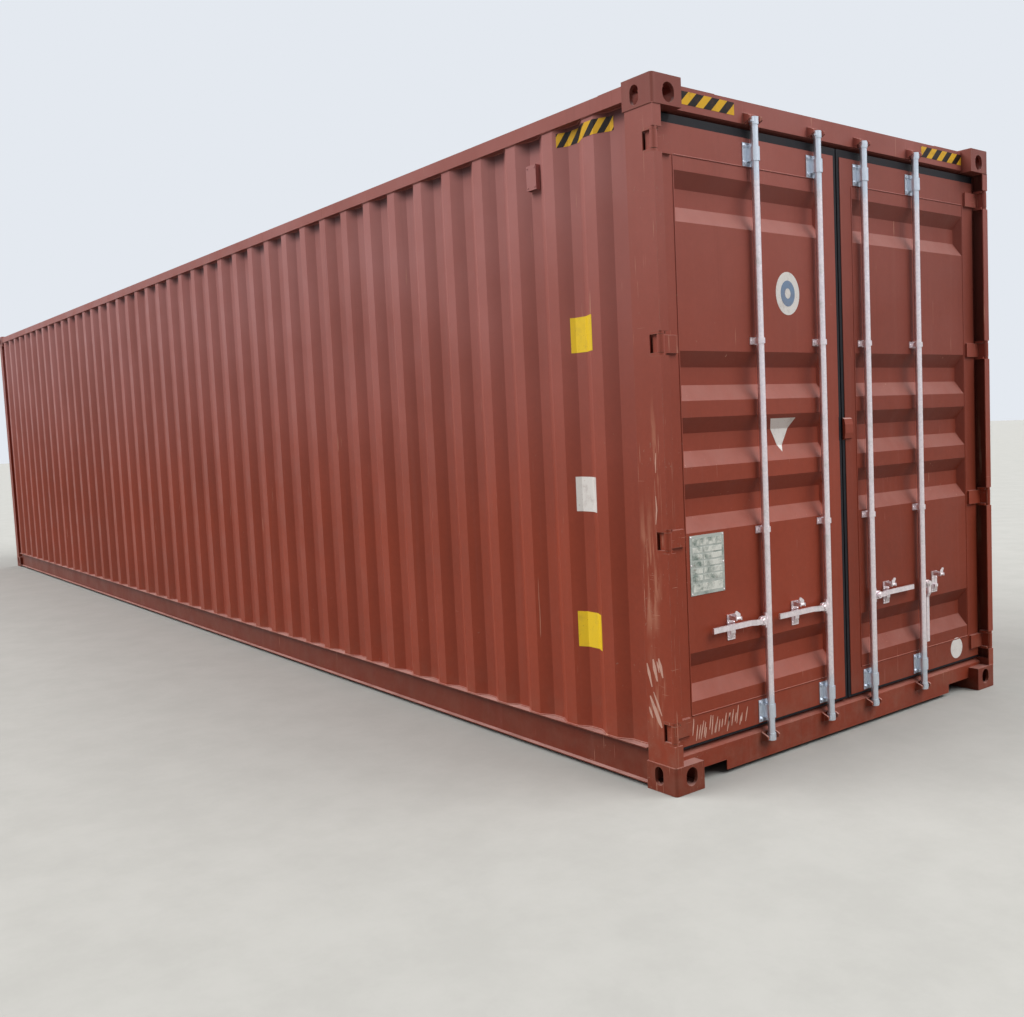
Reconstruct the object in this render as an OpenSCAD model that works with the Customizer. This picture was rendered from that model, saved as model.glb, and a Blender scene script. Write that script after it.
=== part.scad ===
// Forty-foot high-cube dry container with two hinged cargo doors.
// +X points out of the door end, +Y to the right door's hinges' side, +Z up.
// The origin is at the middle of the length and width, at the height of the castings' undersides.

/* [Envelope] */
// Length over the corner castings
length = 12192; // [11900:1:12500]
// Width over the corner castings
width = 2438; // [2400:1:2500]
// Height over the corner castings
height = 2896; // [2500:1:2950]

/* [Corner castings] */
// Size of a casting along the length
casting_l = 178; // [176:1:200]
// Size of a casting across the width
casting_w = 162; // [158:1:180]
// Height of a casting
casting_h = 118; // [114:1:130]
// Radius of a casting's outer upright edge
casting_r = 14; // [4:1:24]
// Wall behind a casting's outer faces
casting_wall = 16; // [10:1:18]
// Wall behind a casting's inner faces
casting_back = 10; // [6:1:10]
// Plate round the lifting slot
casting_plate = 28.5; // [22:0.5:32]
// Plate on a casting's blind end
casting_cap = 12; // [8:1:14]
// Middle of the lifting slot from the end face
slot_from_end = 103.5; // [98:0.5:104]
// Middle of the lifting slot from the side face
slot_from_side = 89.5; // [84:0.5:92]
// Length of the lifting slot
slot_l = 124.5; // [110:0.5:126]
// Width of the lifting slot
slot_w = 63.5; // [58:0.5:66]
// Height of the holes in the side and end faces
face_hole_h = 79; // [68:0.5:79.5]
// Width of the hole in the side face
side_hole_w = 51; // [44:0.5:56]
// Width of the hole in the end face
end_hole_w = 63.5; // [50:0.5:66]

/* [Posts and rails] */
// Set-back of posts and rails from the castings' outer faces
frame_inset = 3; // [1:0.5:5]
// Depth of a rear post along the length
rear_post_d = 165; // [150:1:172]
// Width of a rear post
rear_post_w = 45; // [40:1:60]
// Plate of the rear posts
rear_post_t = 6; // [4:0.5:10]
// Reach of a rear post's open channel behind the door leaves' faces
channel_behind = 20; // [12:1:40]
// Depth of a front post along the length
front_post_d = 110; // [90:1:150]
// Width of a front post
front_post_w = 60; // [50:1:90]
// Plate of the front posts
front_post_t = 6; // [4:0.5:10]
// Size of the square top side rail
top_rail = 60; // [50:1:70]
// Plate of the top side rail
top_rail_t = 3; // [2:0.5:6]
// Drop of the top side rail below the castings' tops
top_rail_drop = 16; // [8:1:24]
// Top of the bottom side rail above the ground
bottom_rail_top = 171; // [165:1:180]
// Plate of the bottom side rail
bottom_rail_t = 4.5; // [3:0.5:8]
// Upper flange of the bottom side rail
bottom_rail_upper = 52; // [50:1:60]
// Lower flange of the bottom side rail, which is open outwards
bottom_rail_lower = 30; // [20:1:45]
// Height of the base structure above the ground
base_clear = 17; // [12.5:0.5:20]
// Set-back of the bottom side rail's edges from the castings
rail_edge_in = 2; // [1:0.5:4]
// Set-back of the front end's sheet faces from the frame's front
front_web_in = 8; // [4:1:14]
// Lip of the front header below the top side rails
front_lip = 20; // [10:1:40]

/* [Corrugated walls and roof] */
// Sheet of the side walls
wall_t = 2; // [1.5:0.1:4]
// Set-back of the side walls' outer crests from the castings
wall_inset = 9; // [7:0.5:11]
// Depth of the side walls' corrugations
wall_depth = 34; // [24:1:36]
// Distance between the side walls' crests
wall_pitch = 281; // [270:1:300]
// Flat outer crest of a corrugation
wall_crest = 72; // [60:1:90]
// Length of a corrugation's slope
wall_slope = 68; // [50:1:75]
// Last crest's distance from the door end
last_crest_from_end = 409; // [395:1:420]
// Depth of the front wall's corrugations
front_wall_depth = 45; // [30:1:50]
// Distance between the front wall's crests
front_wall_pitch = 250; // [240:1:270]
// Flat outer crest of a front wall's corrugation
front_wall_crest = 110; // [90:1:115]
// Length of a front wall corrugation's slope
front_wall_slope = 18; // [10:1:24]
// Set-back of the front wall's outer crests from the frame's front
front_wall_in = 30; // [20:1:40]
// Width of a vent cover
vent_w = 72; // [60:1:72]
// Height of a vent cover
vent_h = 110; // [80:1:160]
// Top of the vent covers below the castings' tops
vent_drop = 190; // [150:1:260]
// Reach of a vent cover from the wall's inner flat
vent_out = 26; // [18:1:32]
// Plate of a vent cover
vent_t = 3; // [2:0.5:4]
// Sheet of the roof
roof_t = 2; // [1.5:0.1:4]
// Underside of the roof below the castings' tops
roof_drop = 40; // [38:1:50]
// Height of the roof's pressed ribs
roof_rib_h = 20; // [10:1:22]
// Distance between the roof's ribs
roof_pitch = 209; // [200:1:230]
// Flat top of a roof rib
roof_rib_top = 90; // [70:1:100]
// Length of a roof rib's slope
roof_rib_slope = 14; // [8:1:20]
// Flat margin between the roof ribs' ends and the side rails
roof_margin = 60; // [40:1:120]

/* [Base] */
// Top of the floor above the ground
floor_top = 157; // [155:1:160]
// Thickness of the floor boards
floor_t = 28; // [24:1:30]
// Gap between the floor boards and the bottom side rails
floor_side_gap = 7; // [3:1:12]
// First cross member's distance behind the front posts
first_joist_in = 90; // [60:1:160]
// Least distance of the last cross member from the rear frame
last_joist_in = 60; // [40:1:120]
// Distance between the cross members
cross_pitch = 300; // [280:1:340]
// Width of a cross member's flanges
cross_flange = 45; // [35:1:60]
// Plate of the cross members
cross_t = 4; // [3:0.5:6]
// Length of the gooseneck tunnel
tunnel_l = 3150; // [2900:10:3400]
// Clear width of the gooseneck tunnel
tunnel_w = 1029; // [1000:1:1060]

/* [Door frame] */
// Depth of the header's and sill's faces behind the end plane
header_depth = 58; // [56:0.5:60]
// Drop of the header's top below the castings' tops
header_drop = 11; // [8:1:20]
// Height of the header's face
header_face_h = 95; // [80:1:100]
// Top of the door opening below the castings' tops
header_low = 122; // [118:1:150]
// Reach of the header's sloping lip behind its face
header_lip = 45; // [30:1:60]
// Top of the sill's upright face
sill_face_top = 134; // [120:1:140]
// Reach of the sill's slope behind its face
sill_slope = 40; // [30:1:60]
// Plate of the header and the sill
sill_t = 5; // [3:0.5:8]
// Width of the notch beside each rear bottom casting
notch_w = 197; // [150:1:230]
// Height of the notch above the ground
notch_h = 62; // [50:1:80]
// Thickness of the threshold plate
threshold_t = 3; // [2:0.5:4]

/* [Doors] */
// Depth of the door leaves' faces behind the end plane
door_depth = 62; // [62:0.5:64]
// Thickness of a door leaf's frame
leaf_t = 50; // [44:1:56]
// Gap between a leaf and the rear post
leaf_side_gap = 11; // [10:0.5:14]
// Gap between a leaf and the header
leaf_top_gap = 41; // [20:0.5:44]
// Gap between a leaf and the sill
leaf_low_gap = 16; // [14:0.5:20]
// Half of the gap between the two leaves
leaf_mid_gap = 24; // [20:0.5:30]
// Width of the leaf's stile at the hinges
hinge_stile = 100; // [80:1:110]
// Width of the leaf's stile at the middle
lock_stile = 84; // [60:1:90]
// Height of the leaf's top and bottom rails
leaf_rail = 122; // [100:1:130]
// Wall of the leaf's frame tubes
leaf_wall = 4; // [2:0.5:6]
// Clearance of the door gasket all round
gasket_clear = 5; // [3:0.5:6]
// Half of the slit between the two doors' gaskets
gasket_mid_clear = 4; // [3:0.5:6]
// Depth of the gasket behind the leaf's face
gasket_back = 3; // [3:1:14]
// Width of the gasket's lip
gasket_w = 20; // [14:1:26]
// Sheet of the door panels
panel_t = 2; // [1.5:0.1:4]
// Depth of a pressed row in a door panel
row_depth = 38; // [24:1:42]
// Height of a pressed row's mouth
row_h = 206; // [180:1:215]
// Length of a pressed row's slopes
row_slope = 66; // [40:1:80]
// Length of the slopes at a pressed row's ends
row_end_slope = 24; // [10:1:40]
// Height of the middle pressed row above the ground
row_mid_z = 1444; // [1430:1:1460]
// Distance between the three middle rows
row_pitch = 275; // [250:1:290]
// Top row's distance below the leaf's upper edge
row_top_in = 285; // [240:1:320]
// Bottom row's distance above the leaf's lower edge
row_low_in = 284; // [240:1:320]
// Middle of the data plate in from the leaf's hinged edge
data_plate_in = 223; // [215:1:260]
// Lower edge of the data plate above the ground
data_plate_low_z = 801; // [760:1:810]
// Width of the data plate
data_plate_w = 204; // [150:1:210]
// Height of the data plate
data_plate_h = 253; // [150:1:260]
// Thickness of the data plate
data_plate_t = 2; // [1:0.5:3]

/* [Hinges] */
// Depth of the hinge pins behind the end plane and in from the side plane
pin_in = 17; // [16:0.5:19]
// Radius of the hinge pins
pin_r = 8; // [6:0.5:9]
// Running clearance of the pins
pin_clear = 0.4; // [0.2:0.1:1]
// Radius of the hinge knuckles and lugs
knuckle_r = 15; // [13.5:0.5:15.5]
// Height of a hinge blade
blade_h = 72; // [60:1:90]
// Thickness of a hinge blade
blade_t = 12; // [8:0.5:14]
// Length of a hinge blade on the leaf
blade_l = 86; // [60:1:95]
// Thickness of a post's hinge lug
lug_t = 12; // [8:0.5:16]
// Height of the lowest hinge above the ground
hinge_low_z = 257; // [240:1:280]
// Highest hinge's distance below the leaf's upper edge
hinge_high_in = 91; // [80:1:110]

/* [Locking gear] */
// Depth of the bars' axes behind the end plane
bar_depth = 33; // [31:0.5:33]
// Radius of a locking bar
bar_r = 17; // [13:0.5:17]
// Wall of a locking bar's tube
bar_wall = 4; // [3:0.5:6]
// Middle bars' distance from the centre line
inner_bar_y = 171; // [160:1:190]
// Outer bars' distance from the centre line
outer_bar_y = 595; // [580:1:610]
// Reach of a bar past the header's lower edge
bar_over = 28; // [24:1:40]
// Lower end of the bars below the sill's upper edge
bar_under = 38; // [30:1:50]
// Reach of a cam's nose from the bar's axis
cam_r = 27; // [22:0.5:28]
// Height of a cam's nose
cam_h = 18; // [12:1:24]
// Half of the clear width between a keeper's ears
keeper_half = 33; // [33:0.5:38]
// Thickness of a keeper's ears
keeper_t = 9; // [6:0.5:12]
// Height of a keeper
keeper_h = 46; // [36:1:52]
// Radial clearance of a bar in its guides
guide_clear = 1; // [0.5:0.1:1.5]
// Wall of a guide's strap
guide_wall = 4; // [3:0.5:5]
// Height of the large guides
big_guide_h = 100; // [70:1:104]
// Width of the large guides' base plates
big_guide_w = 100; // [80:1:120]
// Height of the small guides
small_guide_h = 32; // [20:1:50]
// Height of the lower small guides above the ground
guide_low_z = 1043; // [1020:1:1060]
// Height of the upper small guides above the ground
guide_high_z = 1868; // [1850:1:1890]

/* [Handles] */
// Height of the handles above the ground
handle_z = 641; // [630:1:660]
// Pivot's distance from the bar's axis
pivot_out = 42; // [42:1:46]
// Radius of the pivot bolt
pivot_r = 7; // [5:0.5:8]
// Length of a handle from its pivot to the tip
handle_l = 304; // [280:1:306]
// Height of a handle's flat bar
handle_h = 24; // [18:1:26]
// Thickness of a handle's flat bar
handle_t = 10; // [8:0.5:11]
// Step of the handle towards the door
handle_step = 14; // [8:0.5:15]
// Retainers' distance from the bars on the left door
left_retainer_out = 212; // [190:1:230]
// Retainers' distance from the bars on the right door
right_retainer_out = 147; // [140:1:160]
// Height of the catches' pins above the handles
catch_rise = 37; // [36:1:60]
// Lower end of the retainers' plates below the handles
retainer_drop = 60; // [40:1:70]
// Length of a retainer's catch
catch_l = 34; // [26:1:50]
// Width of a retainer's catch
catch_w = 26; // [20:1:32]
// Lean of a catch's tip away from its bar
catch_lean = 7; // [2:1:12]

/* [Hidden] */
paint = [0.53, 0.27, 0.23];
zinc = [0.75, 0.78, 0.80];
steel_dark = [0.30, 0.22, 0.20];
rubber_black = [0.06, 0.06, 0.07];
plate_grey = [0.62, 0.64, 0.58];
plywood = [0.62, 0.46, 0.30];
end_x = length / 2;
side_y = width / 2;
post_low_z = casting_h;
post_high_z = height - casting_h;
rear_frame_x = end_x - frame_inset - rear_post_d;
post_face_y = side_y - frame_inset - rear_post_w;
casting_back_x = end_x - casting_l;
casting_in_y = side_y - casting_w;
header_x = end_x - header_depth;
header_z = height - header_drop;
opening_top_z = height - header_low;
header_face_low_z = header_z - header_face_h;
rail_top_z = height - top_rail_drop;
rail_low_z = rail_top_z - top_rail;
rail_out_y = side_y - frame_inset;
crest_y = side_y - wall_inset;
front_in_x = -(end_x - frame_inset - front_post_d);
front_web_x = -end_x + frame_inset + front_web_in;
tunnel_x = -end_x + tunnel_l;
tunnel_out_y = tunnel_w / 2 + cross_t;
roof_low_z = height - roof_drop;
joist_top_z = floor_top - floor_t;
leaf_x = end_x - door_depth;
leaf_back_x = leaf_x - leaf_t;
leaf_out_y = post_face_y - leaf_side_gap;
leaf_low_z = floor_top + leaf_low_gap;
leaf_high_z = opening_top_z - leaf_top_gap;
field_low_z = leaf_low_z + leaf_rail;
field_high_z = leaf_high_z - leaf_rail;
field_in_y = leaf_mid_gap + lock_stile;
field_out_y = leaf_out_y - hinge_stile;
row_zs = [
    leaf_high_z - row_top_in, row_mid_z + row_pitch, row_mid_z,
    row_mid_z - row_pitch, leaf_low_z + row_low_in
];
rail_edge_y = side_y - rail_edge_in;
rail_web_y = rail_edge_y - bottom_rail_lower;
joist_low_z = base_clear + bottom_rail_t;
pin_x = end_x - pin_in;
pin_y = side_y - pin_in;
lug_gap = 1;
window_h = blade_h + 2 * lug_gap + 2 * lug_t;
window_x = leaf_x - 5;
channel_x = leaf_x - channel_behind;
lap_z = row_mid_z + 20;
lap_half_h = 52;
hinge_pitch = (leaf_high_z - hinge_high_in - hinge_low_z) / 3;
hinge_zs = [for (k = [0:3]) hinge_low_z + k * hinge_pitch];
bar_x = end_x - bar_depth;
bar_ys = [-outer_bar_y, -inner_bar_y, inner_bar_y, outer_bar_y];
bar_low_z = sill_face_top - bar_under;
bar_high_z = header_face_low_z + bar_over;
handle_sides = [-1, -1, 1, 1];
retainer_outs = [left_retainer_out, left_retainer_out, right_retainer_out, right_retainer_out];
bar_plug = 60;
hub_plug = 40;
hub_t = 12;
hub_h = 66;
handle_x = bar_x + hub_t / 2 + 1;
grip_x = handle_x - handle_step;
catch_pivot_z = handle_z + catch_rise;
catch_pivot_x = grip_x + handle_t + 14;
catch_t = 4;
catch_pin_r = 3.5;

module both_sides() {
    children();
    mirror([0, 1, 0]) children();
}

module both_ends() {
    children();
    mirror([1, 0, 0]) children();
}

// A box from its low corner to its high corner
module span(low, high) {
    translate(low) cube([high[0] - low[0], high[1] - low[1], high[2] - low[2]]);
}

// A slot with round ends, its length along X
module obround(l, w) {
    reach = (l - w) / 2;
    square([l - w, w], center = true);
    translate([reach, 0]) circle(d = w, $fn = 48);
    translate([-reach, 0]) circle(d = w, $fn = 48);
}

// A profile in X and Z drawn along Y, from y0 to y1
module along_y(y0, y1) {
    translate([0, y1, 0]) rotate([90, 0, 0]) linear_extrude(y1 - y0) children();
}

// A profile in Y and Z drawn along X, from x0 to x1
module along_x(x0, x1) {
    translate([x0, 0, 0]) rotate([90, 0, 90]) linear_extrude(x1 - x0) children();
}

// One casting at the right corner of the door end, its lifting slot underneath
module corner_casting() {
    x1 = end_x;
    y1 = side_y;
    hole_z = casting_plate + (casting_h - casting_plate - casting_cap) / 2;
    difference() {
        translate([casting_back_x, casting_in_y, 0]) linear_extrude(casting_h) {
            square([casting_l - casting_r, casting_w]);
            square([casting_l, casting_w - casting_r]);
            translate([casting_l - casting_r, casting_w - casting_r]) circle(r = casting_r, $fn = 48);
        }
        span([casting_back_x + casting_back, casting_in_y + casting_back, casting_plate],
             [x1 - casting_wall, y1 - casting_wall, casting_h - casting_cap]);
        translate([x1 - slot_from_end, y1 - slot_from_side, -1]) linear_extrude(casting_plate + 2)
            obround(slot_l, slot_w);
        translate([x1 - slot_from_end, y1 + 1, hole_z]) rotate([90, 0, 0])
            linear_extrude(casting_wall + 2) rotate(90) obround(face_hole_h, side_hole_w);
        translate([x1 - casting_wall - 1, y1 - slot_from_side, hole_z]) rotate([90, 0, 90])
            linear_extrude(casting_wall + 2) rotate(90) obround(face_hole_h, end_hole_w);
    }
}

// The room that the castings take, cut from the sheets that end at them
module casting_room() {
    for (z = [0, post_high_z]) both_sides() both_ends()
        span([casting_back_x, casting_in_y, z], [end_x, side_y, z + casting_h]);
}

module bottom_castings() {
    color(paint) both_sides() both_ends() corner_casting();
}

module top_castings() {
    color(paint) both_sides() both_ends() translate([0, 0, height]) mirror([0, 0, 1]) corner_casting();
}

// The rear posts: a box behind a channel that is open towards the doors, cut away at each hinge
module rear_posts() {
    front_x = end_x - frame_inset - rear_post_t;
    out_y = rail_out_y - rear_post_t;
    color(paint) both_sides() difference() {
        span([rear_frame_x, post_face_y, post_low_z], [end_x - frame_inset, rail_out_y, post_high_z]);
        span([rear_frame_x + rear_post_t, post_face_y + rear_post_t, post_low_z - 1],
             [channel_x - rear_post_t, out_y, post_high_z + 1]);
        span([channel_x, post_face_y + rear_post_t, post_low_z - 1], [front_x, out_y, post_high_z + 1]);
        span([channel_x, post_face_y - 1, floor_top], [front_x, out_y, opening_top_z]);
        for (z = hinge_zs)
            span([window_x, post_face_y - 1, z - window_h / 2], [end_x, side_y, z + window_h / 2]);
    }
}

module front_posts() {
    x0 = -end_x + frame_inset;
    color(paint) both_sides() difference() {
        span([x0, rail_out_y - front_post_w, post_low_z], [front_in_x, rail_out_y, post_high_z]);
        span([x0 + front_post_t, rail_out_y - front_post_w + front_post_t, post_low_z - 1],
             [front_in_x - front_post_t, rail_out_y - front_post_t, post_high_z + 1]);
    }
}

// Lugs above and below each knuckle, joined by the hinge pin
module hinge_lugs() {
    lug_in_y = pin_y - 28;
    color(paint) both_sides() for (z = hinge_zs) {
        for (side = [-1, 1])
            translate([0, 0, z + side * (window_h - lug_t) / 2 - lug_t / 2]) linear_extrude(lug_t) {
                translate([pin_x, pin_y]) circle(r = knuckle_r - 1, $fn = 48);
                translate([window_x, lug_in_y]) square([pin_x - window_x, pin_y + knuckle_r - 1 - lug_in_y]);
            }
        translate([pin_x, pin_y, z - window_h / 2]) cylinder(r = pin_r, h = window_h, $fn = 48);
    }
}

module top_side_rails() {
    color(paint) both_sides() difference() {
        span([-casting_back_x, rail_out_y - top_rail, rail_low_z], [casting_back_x, rail_out_y, rail_top_z]);
        span([-casting_back_x - 1, rail_out_y - top_rail + top_rail_t, rail_low_z + top_rail_t],
             [casting_back_x + 1, rail_out_y - top_rail_t, rail_top_z - top_rail_t]);
    }
}

// Channels open outwards, with the upper flange reaching in over the floor's edge
module bottom_side_rails() {
    t = bottom_rail_t;
    color(paint) both_sides() along_x(-casting_back_x, casting_back_x) {
        translate([rail_web_y, base_clear]) square([t, bottom_rail_top - base_clear]);
        translate([rail_edge_y - bottom_rail_upper, bottom_rail_top - t]) square([bottom_rail_upper, t]);
        translate([rail_web_y, base_clear]) square([bottom_rail_lower, t]);
    }
}

// Bent header: an upright face with a lip that slopes back to the top of the opening
module header_profile(grow) {
    polygon([
        [header_x - grow, header_z - grow], [header_x - grow, header_face_low_z + grow / 2],
        [header_x - header_lip, opening_top_z + grow], [rear_frame_x + grow, opening_top_z + grow],
        [rear_frame_x + grow, header_z - grow]
    ]);
}

module door_header() {
    color(paint) difference() {
        along_y(-post_face_y, post_face_y) difference() {
            header_profile(0);
            header_profile(sill_t);
        }
        both_sides() span([casting_back_x - 1, casting_in_y, post_high_z], [end_x, side_y, height]);
    }
}

// Bent sill: an upright face, a slope up to the floor, open underneath
module sill_profile(grow) {
    low_z = grow > 0 ? -10 : base_clear;
    polygon([
        [header_x - grow, low_z], [header_x - grow, sill_face_top - grow / 2],
        [header_x - sill_slope - grow / 2, floor_top - grow], [rear_frame_x + grow, floor_top - grow],
        [rear_frame_x + grow, low_z]
    ]);
}

module door_sill() {
    color(paint) difference() {
        along_y(-post_face_y, post_face_y) difference() {
            sill_profile(0);
            sill_profile(sill_t);
        }
        both_sides() span([casting_back_x - 1, casting_in_y, 0], [end_x, side_y, casting_h]);
        both_sides() span([header_x - 2 * sill_t, casting_in_y - notch_w, 0],
                          [end_x, casting_in_y + 1, notch_h]);
    }
}

module front_header() {
    color(paint) difference() {
        span([front_web_x, -(rail_out_y - front_post_w), rail_low_z - front_lip],
             [front_in_x, rail_out_y - front_post_w, rail_top_z]);
        span([front_web_x + sill_t, -side_y, rail_low_z - front_lip + sill_t],
             [front_in_x - sill_t, side_y, rail_top_z - sill_t]);
        both_sides() span([-end_x, casting_in_y, post_high_z], [-casting_back_x + 1, side_y, height]);
    }
}

// Front sill beside the mouth of the tunnel, open underneath
module front_sill() {
    color(paint) both_sides() difference() {
        span([front_web_x, tunnel_out_y, base_clear], [front_in_x, rail_out_y - front_post_w, floor_top]);
        span([front_web_x + sill_t, 0, -10], [front_in_x - sill_t, side_y, floor_top - sill_t]);
        span([-end_x, casting_in_y, 0], [-casting_back_x + 1, side_y, casting_h]);
    }
}

// Points of one pressed sheet: crest flats at height 0 and troughs at -depth, shifted by t
function wave(first, n, pitch, crest, slope, depth, t) = [
    for (k = [0:n - 1]) each [
        [first + k * pitch - crest / 2 - slope, -depth - t], [first + k * pitch - crest / 2, -t],
        [first + k * pitch + crest / 2, -t], [first + k * pitch + crest / 2 + slope, -depth - t]
    ]
];

function reversed(list) = [for (k = [len(list) - 1:-1:0]) list[k]];

// A corrugated sheet's section from start to stop
module sheet_profile(start, stop, first, n, pitch, crest, slope, depth, t) {
    polygon(concat(
        [[start, -depth]], wave(first, n, pitch, crest, slope, depth, 0), [[stop, -depth]],
        [[stop, -depth - t]], reversed(wave(first, n, pitch, crest, slope, depth, t)), [[start, -depth - t]]
    ));
}

// The right side wall; the left one is its mirror image
module side_wall() {
    low_x = front_in_x;
    last_x = end_x - last_crest_from_end;
    n = floor((last_x - low_x - wall_crest / 2 - wall_slope - 10) / wall_pitch) + 1;
    difference() {
        translate([0, crest_y, bottom_rail_top]) linear_extrude(rail_low_z - bottom_rail_top)
            sheet_profile(low_x, rear_frame_x, last_x - (n - 1) * wall_pitch, n, wall_pitch,
                          wall_crest, wall_slope, wall_depth, wall_t);
        casting_room();
    }
}

module right_side_wall() {
    color(paint) side_wall();
}

module left_side_wall() {
    color(paint) mirror([0, 1, 0]) side_wall();
}

module front_wall() {
    half = rail_out_y - front_post_w;
    n = floor((2 * half - front_wall_crest - 2 * front_wall_slope - 20) / front_wall_pitch) + 1;
    color(paint) difference() {
        translate([-end_x + frame_inset + front_wall_in, 0, floor_top])
            linear_extrude(rail_low_z - front_lip - floor_top) rotate(90)
                sheet_profile(-half, half, -(n - 1) * front_wall_pitch / 2, n, front_wall_pitch,
                              front_wall_crest, front_wall_slope, front_wall_depth, wall_t);
        casting_room();
    }
}

// Roof sheet with ribs pressed up across the width, closed at their ends
module roof() {
    half = rail_out_y - top_rail;
    rib_half = half - roof_margin;
    x0 = front_in_x;
    x1 = rear_frame_x;
    n = floor((x1 - x0 - roof_rib_top - 2 * roof_rib_slope - 2 * roof_margin) / roof_pitch) + 1;
    first = (x0 + x1) / 2 - (n - 1) * roof_pitch / 2;
    low = roof_rib_top / 2 + roof_rib_slope;
    color(paint) difference() {
        translate([0, 0, roof_low_z]) {
            along_y(-rib_half, rib_half) translate([0, roof_rib_h + roof_t])
                sheet_profile(x0, x1, first, n, roof_pitch, roof_rib_top, roof_rib_slope, roof_rib_h, roof_t);
            both_sides() span([x0, rib_half, 0], [x1, half, roof_t]);
            both_sides() along_y(rib_half - roof_t, rib_half) for (k = [0:n - 1])
                translate([first + k * roof_pitch, 0]) polygon([
                    [-low, 0], [low, 0], [low, roof_t], [roof_rib_top / 2, roof_rib_h + roof_t],
                    [-roof_rib_top / 2, roof_rib_h + roof_t], [-low, roof_t]
                ]);
        }
        casting_room();
    }
}

// Doubler plates beside the top castings
module roof_corner_plates() {
    plate_l = 150;
    plate_w = 250;
    color(paint) both_sides() translate([0, 0, rail_top_z]) {
        span([casting_back_x - plate_l, rail_out_y - top_rail, 0], [casting_back_x, rail_out_y, roof_t]);
        span([-casting_back_x, rail_out_y - top_rail, 0], [-casting_back_x + plate_l, rail_out_y, roof_t]);
    }
    color(paint) both_sides() span([rear_frame_x, casting_in_y - plate_w, header_z],
                                   [header_x, casting_in_y, header_z + roof_t]);
}

module floor_boards() {
    half = rail_web_y - floor_side_gap;
    color(plywood) span([front_in_x, -half, joist_top_z], [rear_frame_x, half, floor_top]);
}

module threshold() {
    color(steel_dark) span([rear_frame_x, -post_face_y, floor_top],
                           [header_x - sill_slope - 2, post_face_y, floor_top + threshold_t]);
}

// One channel that carries the floor, from y0 to y1
module cross_member(y0, y1) {
    h = joist_top_z - joist_low_z;
    along_y(y0, y1) {
        square([cross_t, h]);
        square([cross_flange, cross_t]);
        translate([0, h - cross_t]) square([cross_flange, cross_t]);
    }
}

// The cross members, with the plate that closes the tunnel's end
module cross_members() {
    half = rail_web_y;
    x0 = front_in_x + first_joist_in;
    n = floor((rear_frame_x - x0 - cross_flange - last_joist_in) / cross_pitch) + 1;
    color(paint) {
        for (k = [0:n - 1]) translate([x0 + k * cross_pitch, 0, joist_low_z]) {
            if (x0 + k * cross_pitch > tunnel_x + 2 * cross_t) cross_member(-half, half);
            else both_sides() cross_member(tunnel_out_y, half);
        }
        span([tunnel_x, -tunnel_out_y, base_clear], [tunnel_x + cross_t, tunnel_out_y, joist_top_z]);
    }
}

// Roof plate of the tunnel that a trailer's gooseneck runs into, with the sill's beam over its mouth
module gooseneck_tunnel() {
    low_z = joist_top_z - cross_t;
    half = tunnel_w / 2;
    color(paint) {
        span([front_in_x, -half, low_z], [tunnel_x, half, joist_top_z]);
        difference() {
            span([front_web_x, -half, low_z], [front_in_x, half, floor_top]);
            span([front_web_x + sill_t, -side_y, 0], [front_in_x - sill_t, side_y, floor_top - sill_t]);
        }
    }
}

// Upright sides of the tunnel, higher where they part the front sill
module tunnel_webs() {
    color(paint) both_sides() {
        span([front_web_x, tunnel_w / 2, base_clear], [front_in_x, tunnel_out_y, floor_top]);
        span([front_in_x, tunnel_w / 2, base_clear], [tunnel_x, tunnel_out_y, joist_top_z]);
    }
}

// Small covers over the vent holes near the top of each side wall
module vents() {
    x = end_x - last_crest_from_end - 1.5 * wall_pitch;
    y = crest_y - wall_depth;
    t = vent_t;
    color(paint) both_sides() difference() {
        span([x - vent_w / 2, y, height - vent_drop - vent_h],
             [x + vent_w / 2, y + vent_out, height - vent_drop]);
        span([x - vent_w / 2 + t, y + t, height - vent_drop - vent_h - 1],
             [x + vent_w / 2 - t, y + vent_out - t, height - vent_drop - t]);
    }
}

// One keeper: a base plate with an ear on each side of the cam, open in front
module keeper(y, z) {
    base_t = 4;
    span([header_x, y - keeper_half - keeper_t, z - keeper_h / 2],
         [header_x + base_t, y + keeper_half + keeper_t, z + keeper_h / 2]);
    for (side = [-1, 1])
        translate([0, y + side * (keeper_half + keeper_t / 2) - keeper_t / 2, 0])
            along_y(0, keeper_t) polygon([
                [header_x, z - keeper_h / 2], [bar_x + 6, z - keeper_h / 2 + 12],
                [bar_x + 14, z - 6], [bar_x + 14, z + 6],
                [bar_x + 6, z + keeper_h / 2 - 12], [header_x, z + keeper_h / 2]
            ]);
}

module cam_keepers() {
    color(paint) for (y = bar_ys) {
        keeper(y, header_face_low_z + keeper_h / 2);
        keeper(y, sill_face_top - keeper_h / 2);
    }
}

// Square tubes round a door leaf, for the right door
module leaf_frame() {
    difference() {
        span([leaf_back_x, leaf_mid_gap, leaf_low_z], [leaf_x, leaf_out_y, leaf_high_z]);
        span([leaf_back_x - 1, field_in_y, field_low_z], [leaf_x + 1, field_out_y, field_high_z]);
        for (y = [[leaf_mid_gap, field_in_y], [field_out_y, leaf_out_y]])
            span([leaf_back_x + leaf_wall, y[0] + leaf_wall, leaf_low_z + leaf_wall],
                 [leaf_x - leaf_wall, y[1] - leaf_wall, leaf_high_z - leaf_wall]);
        for (z = [[leaf_low_z, field_low_z], [field_high_z, leaf_high_z]])
            span([leaf_back_x + leaf_wall, field_in_y + leaf_wall, z[0] + leaf_wall],
                 [leaf_x - leaf_wall, field_out_y - leaf_wall, z[1] - leaf_wall]);
    }
}

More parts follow.
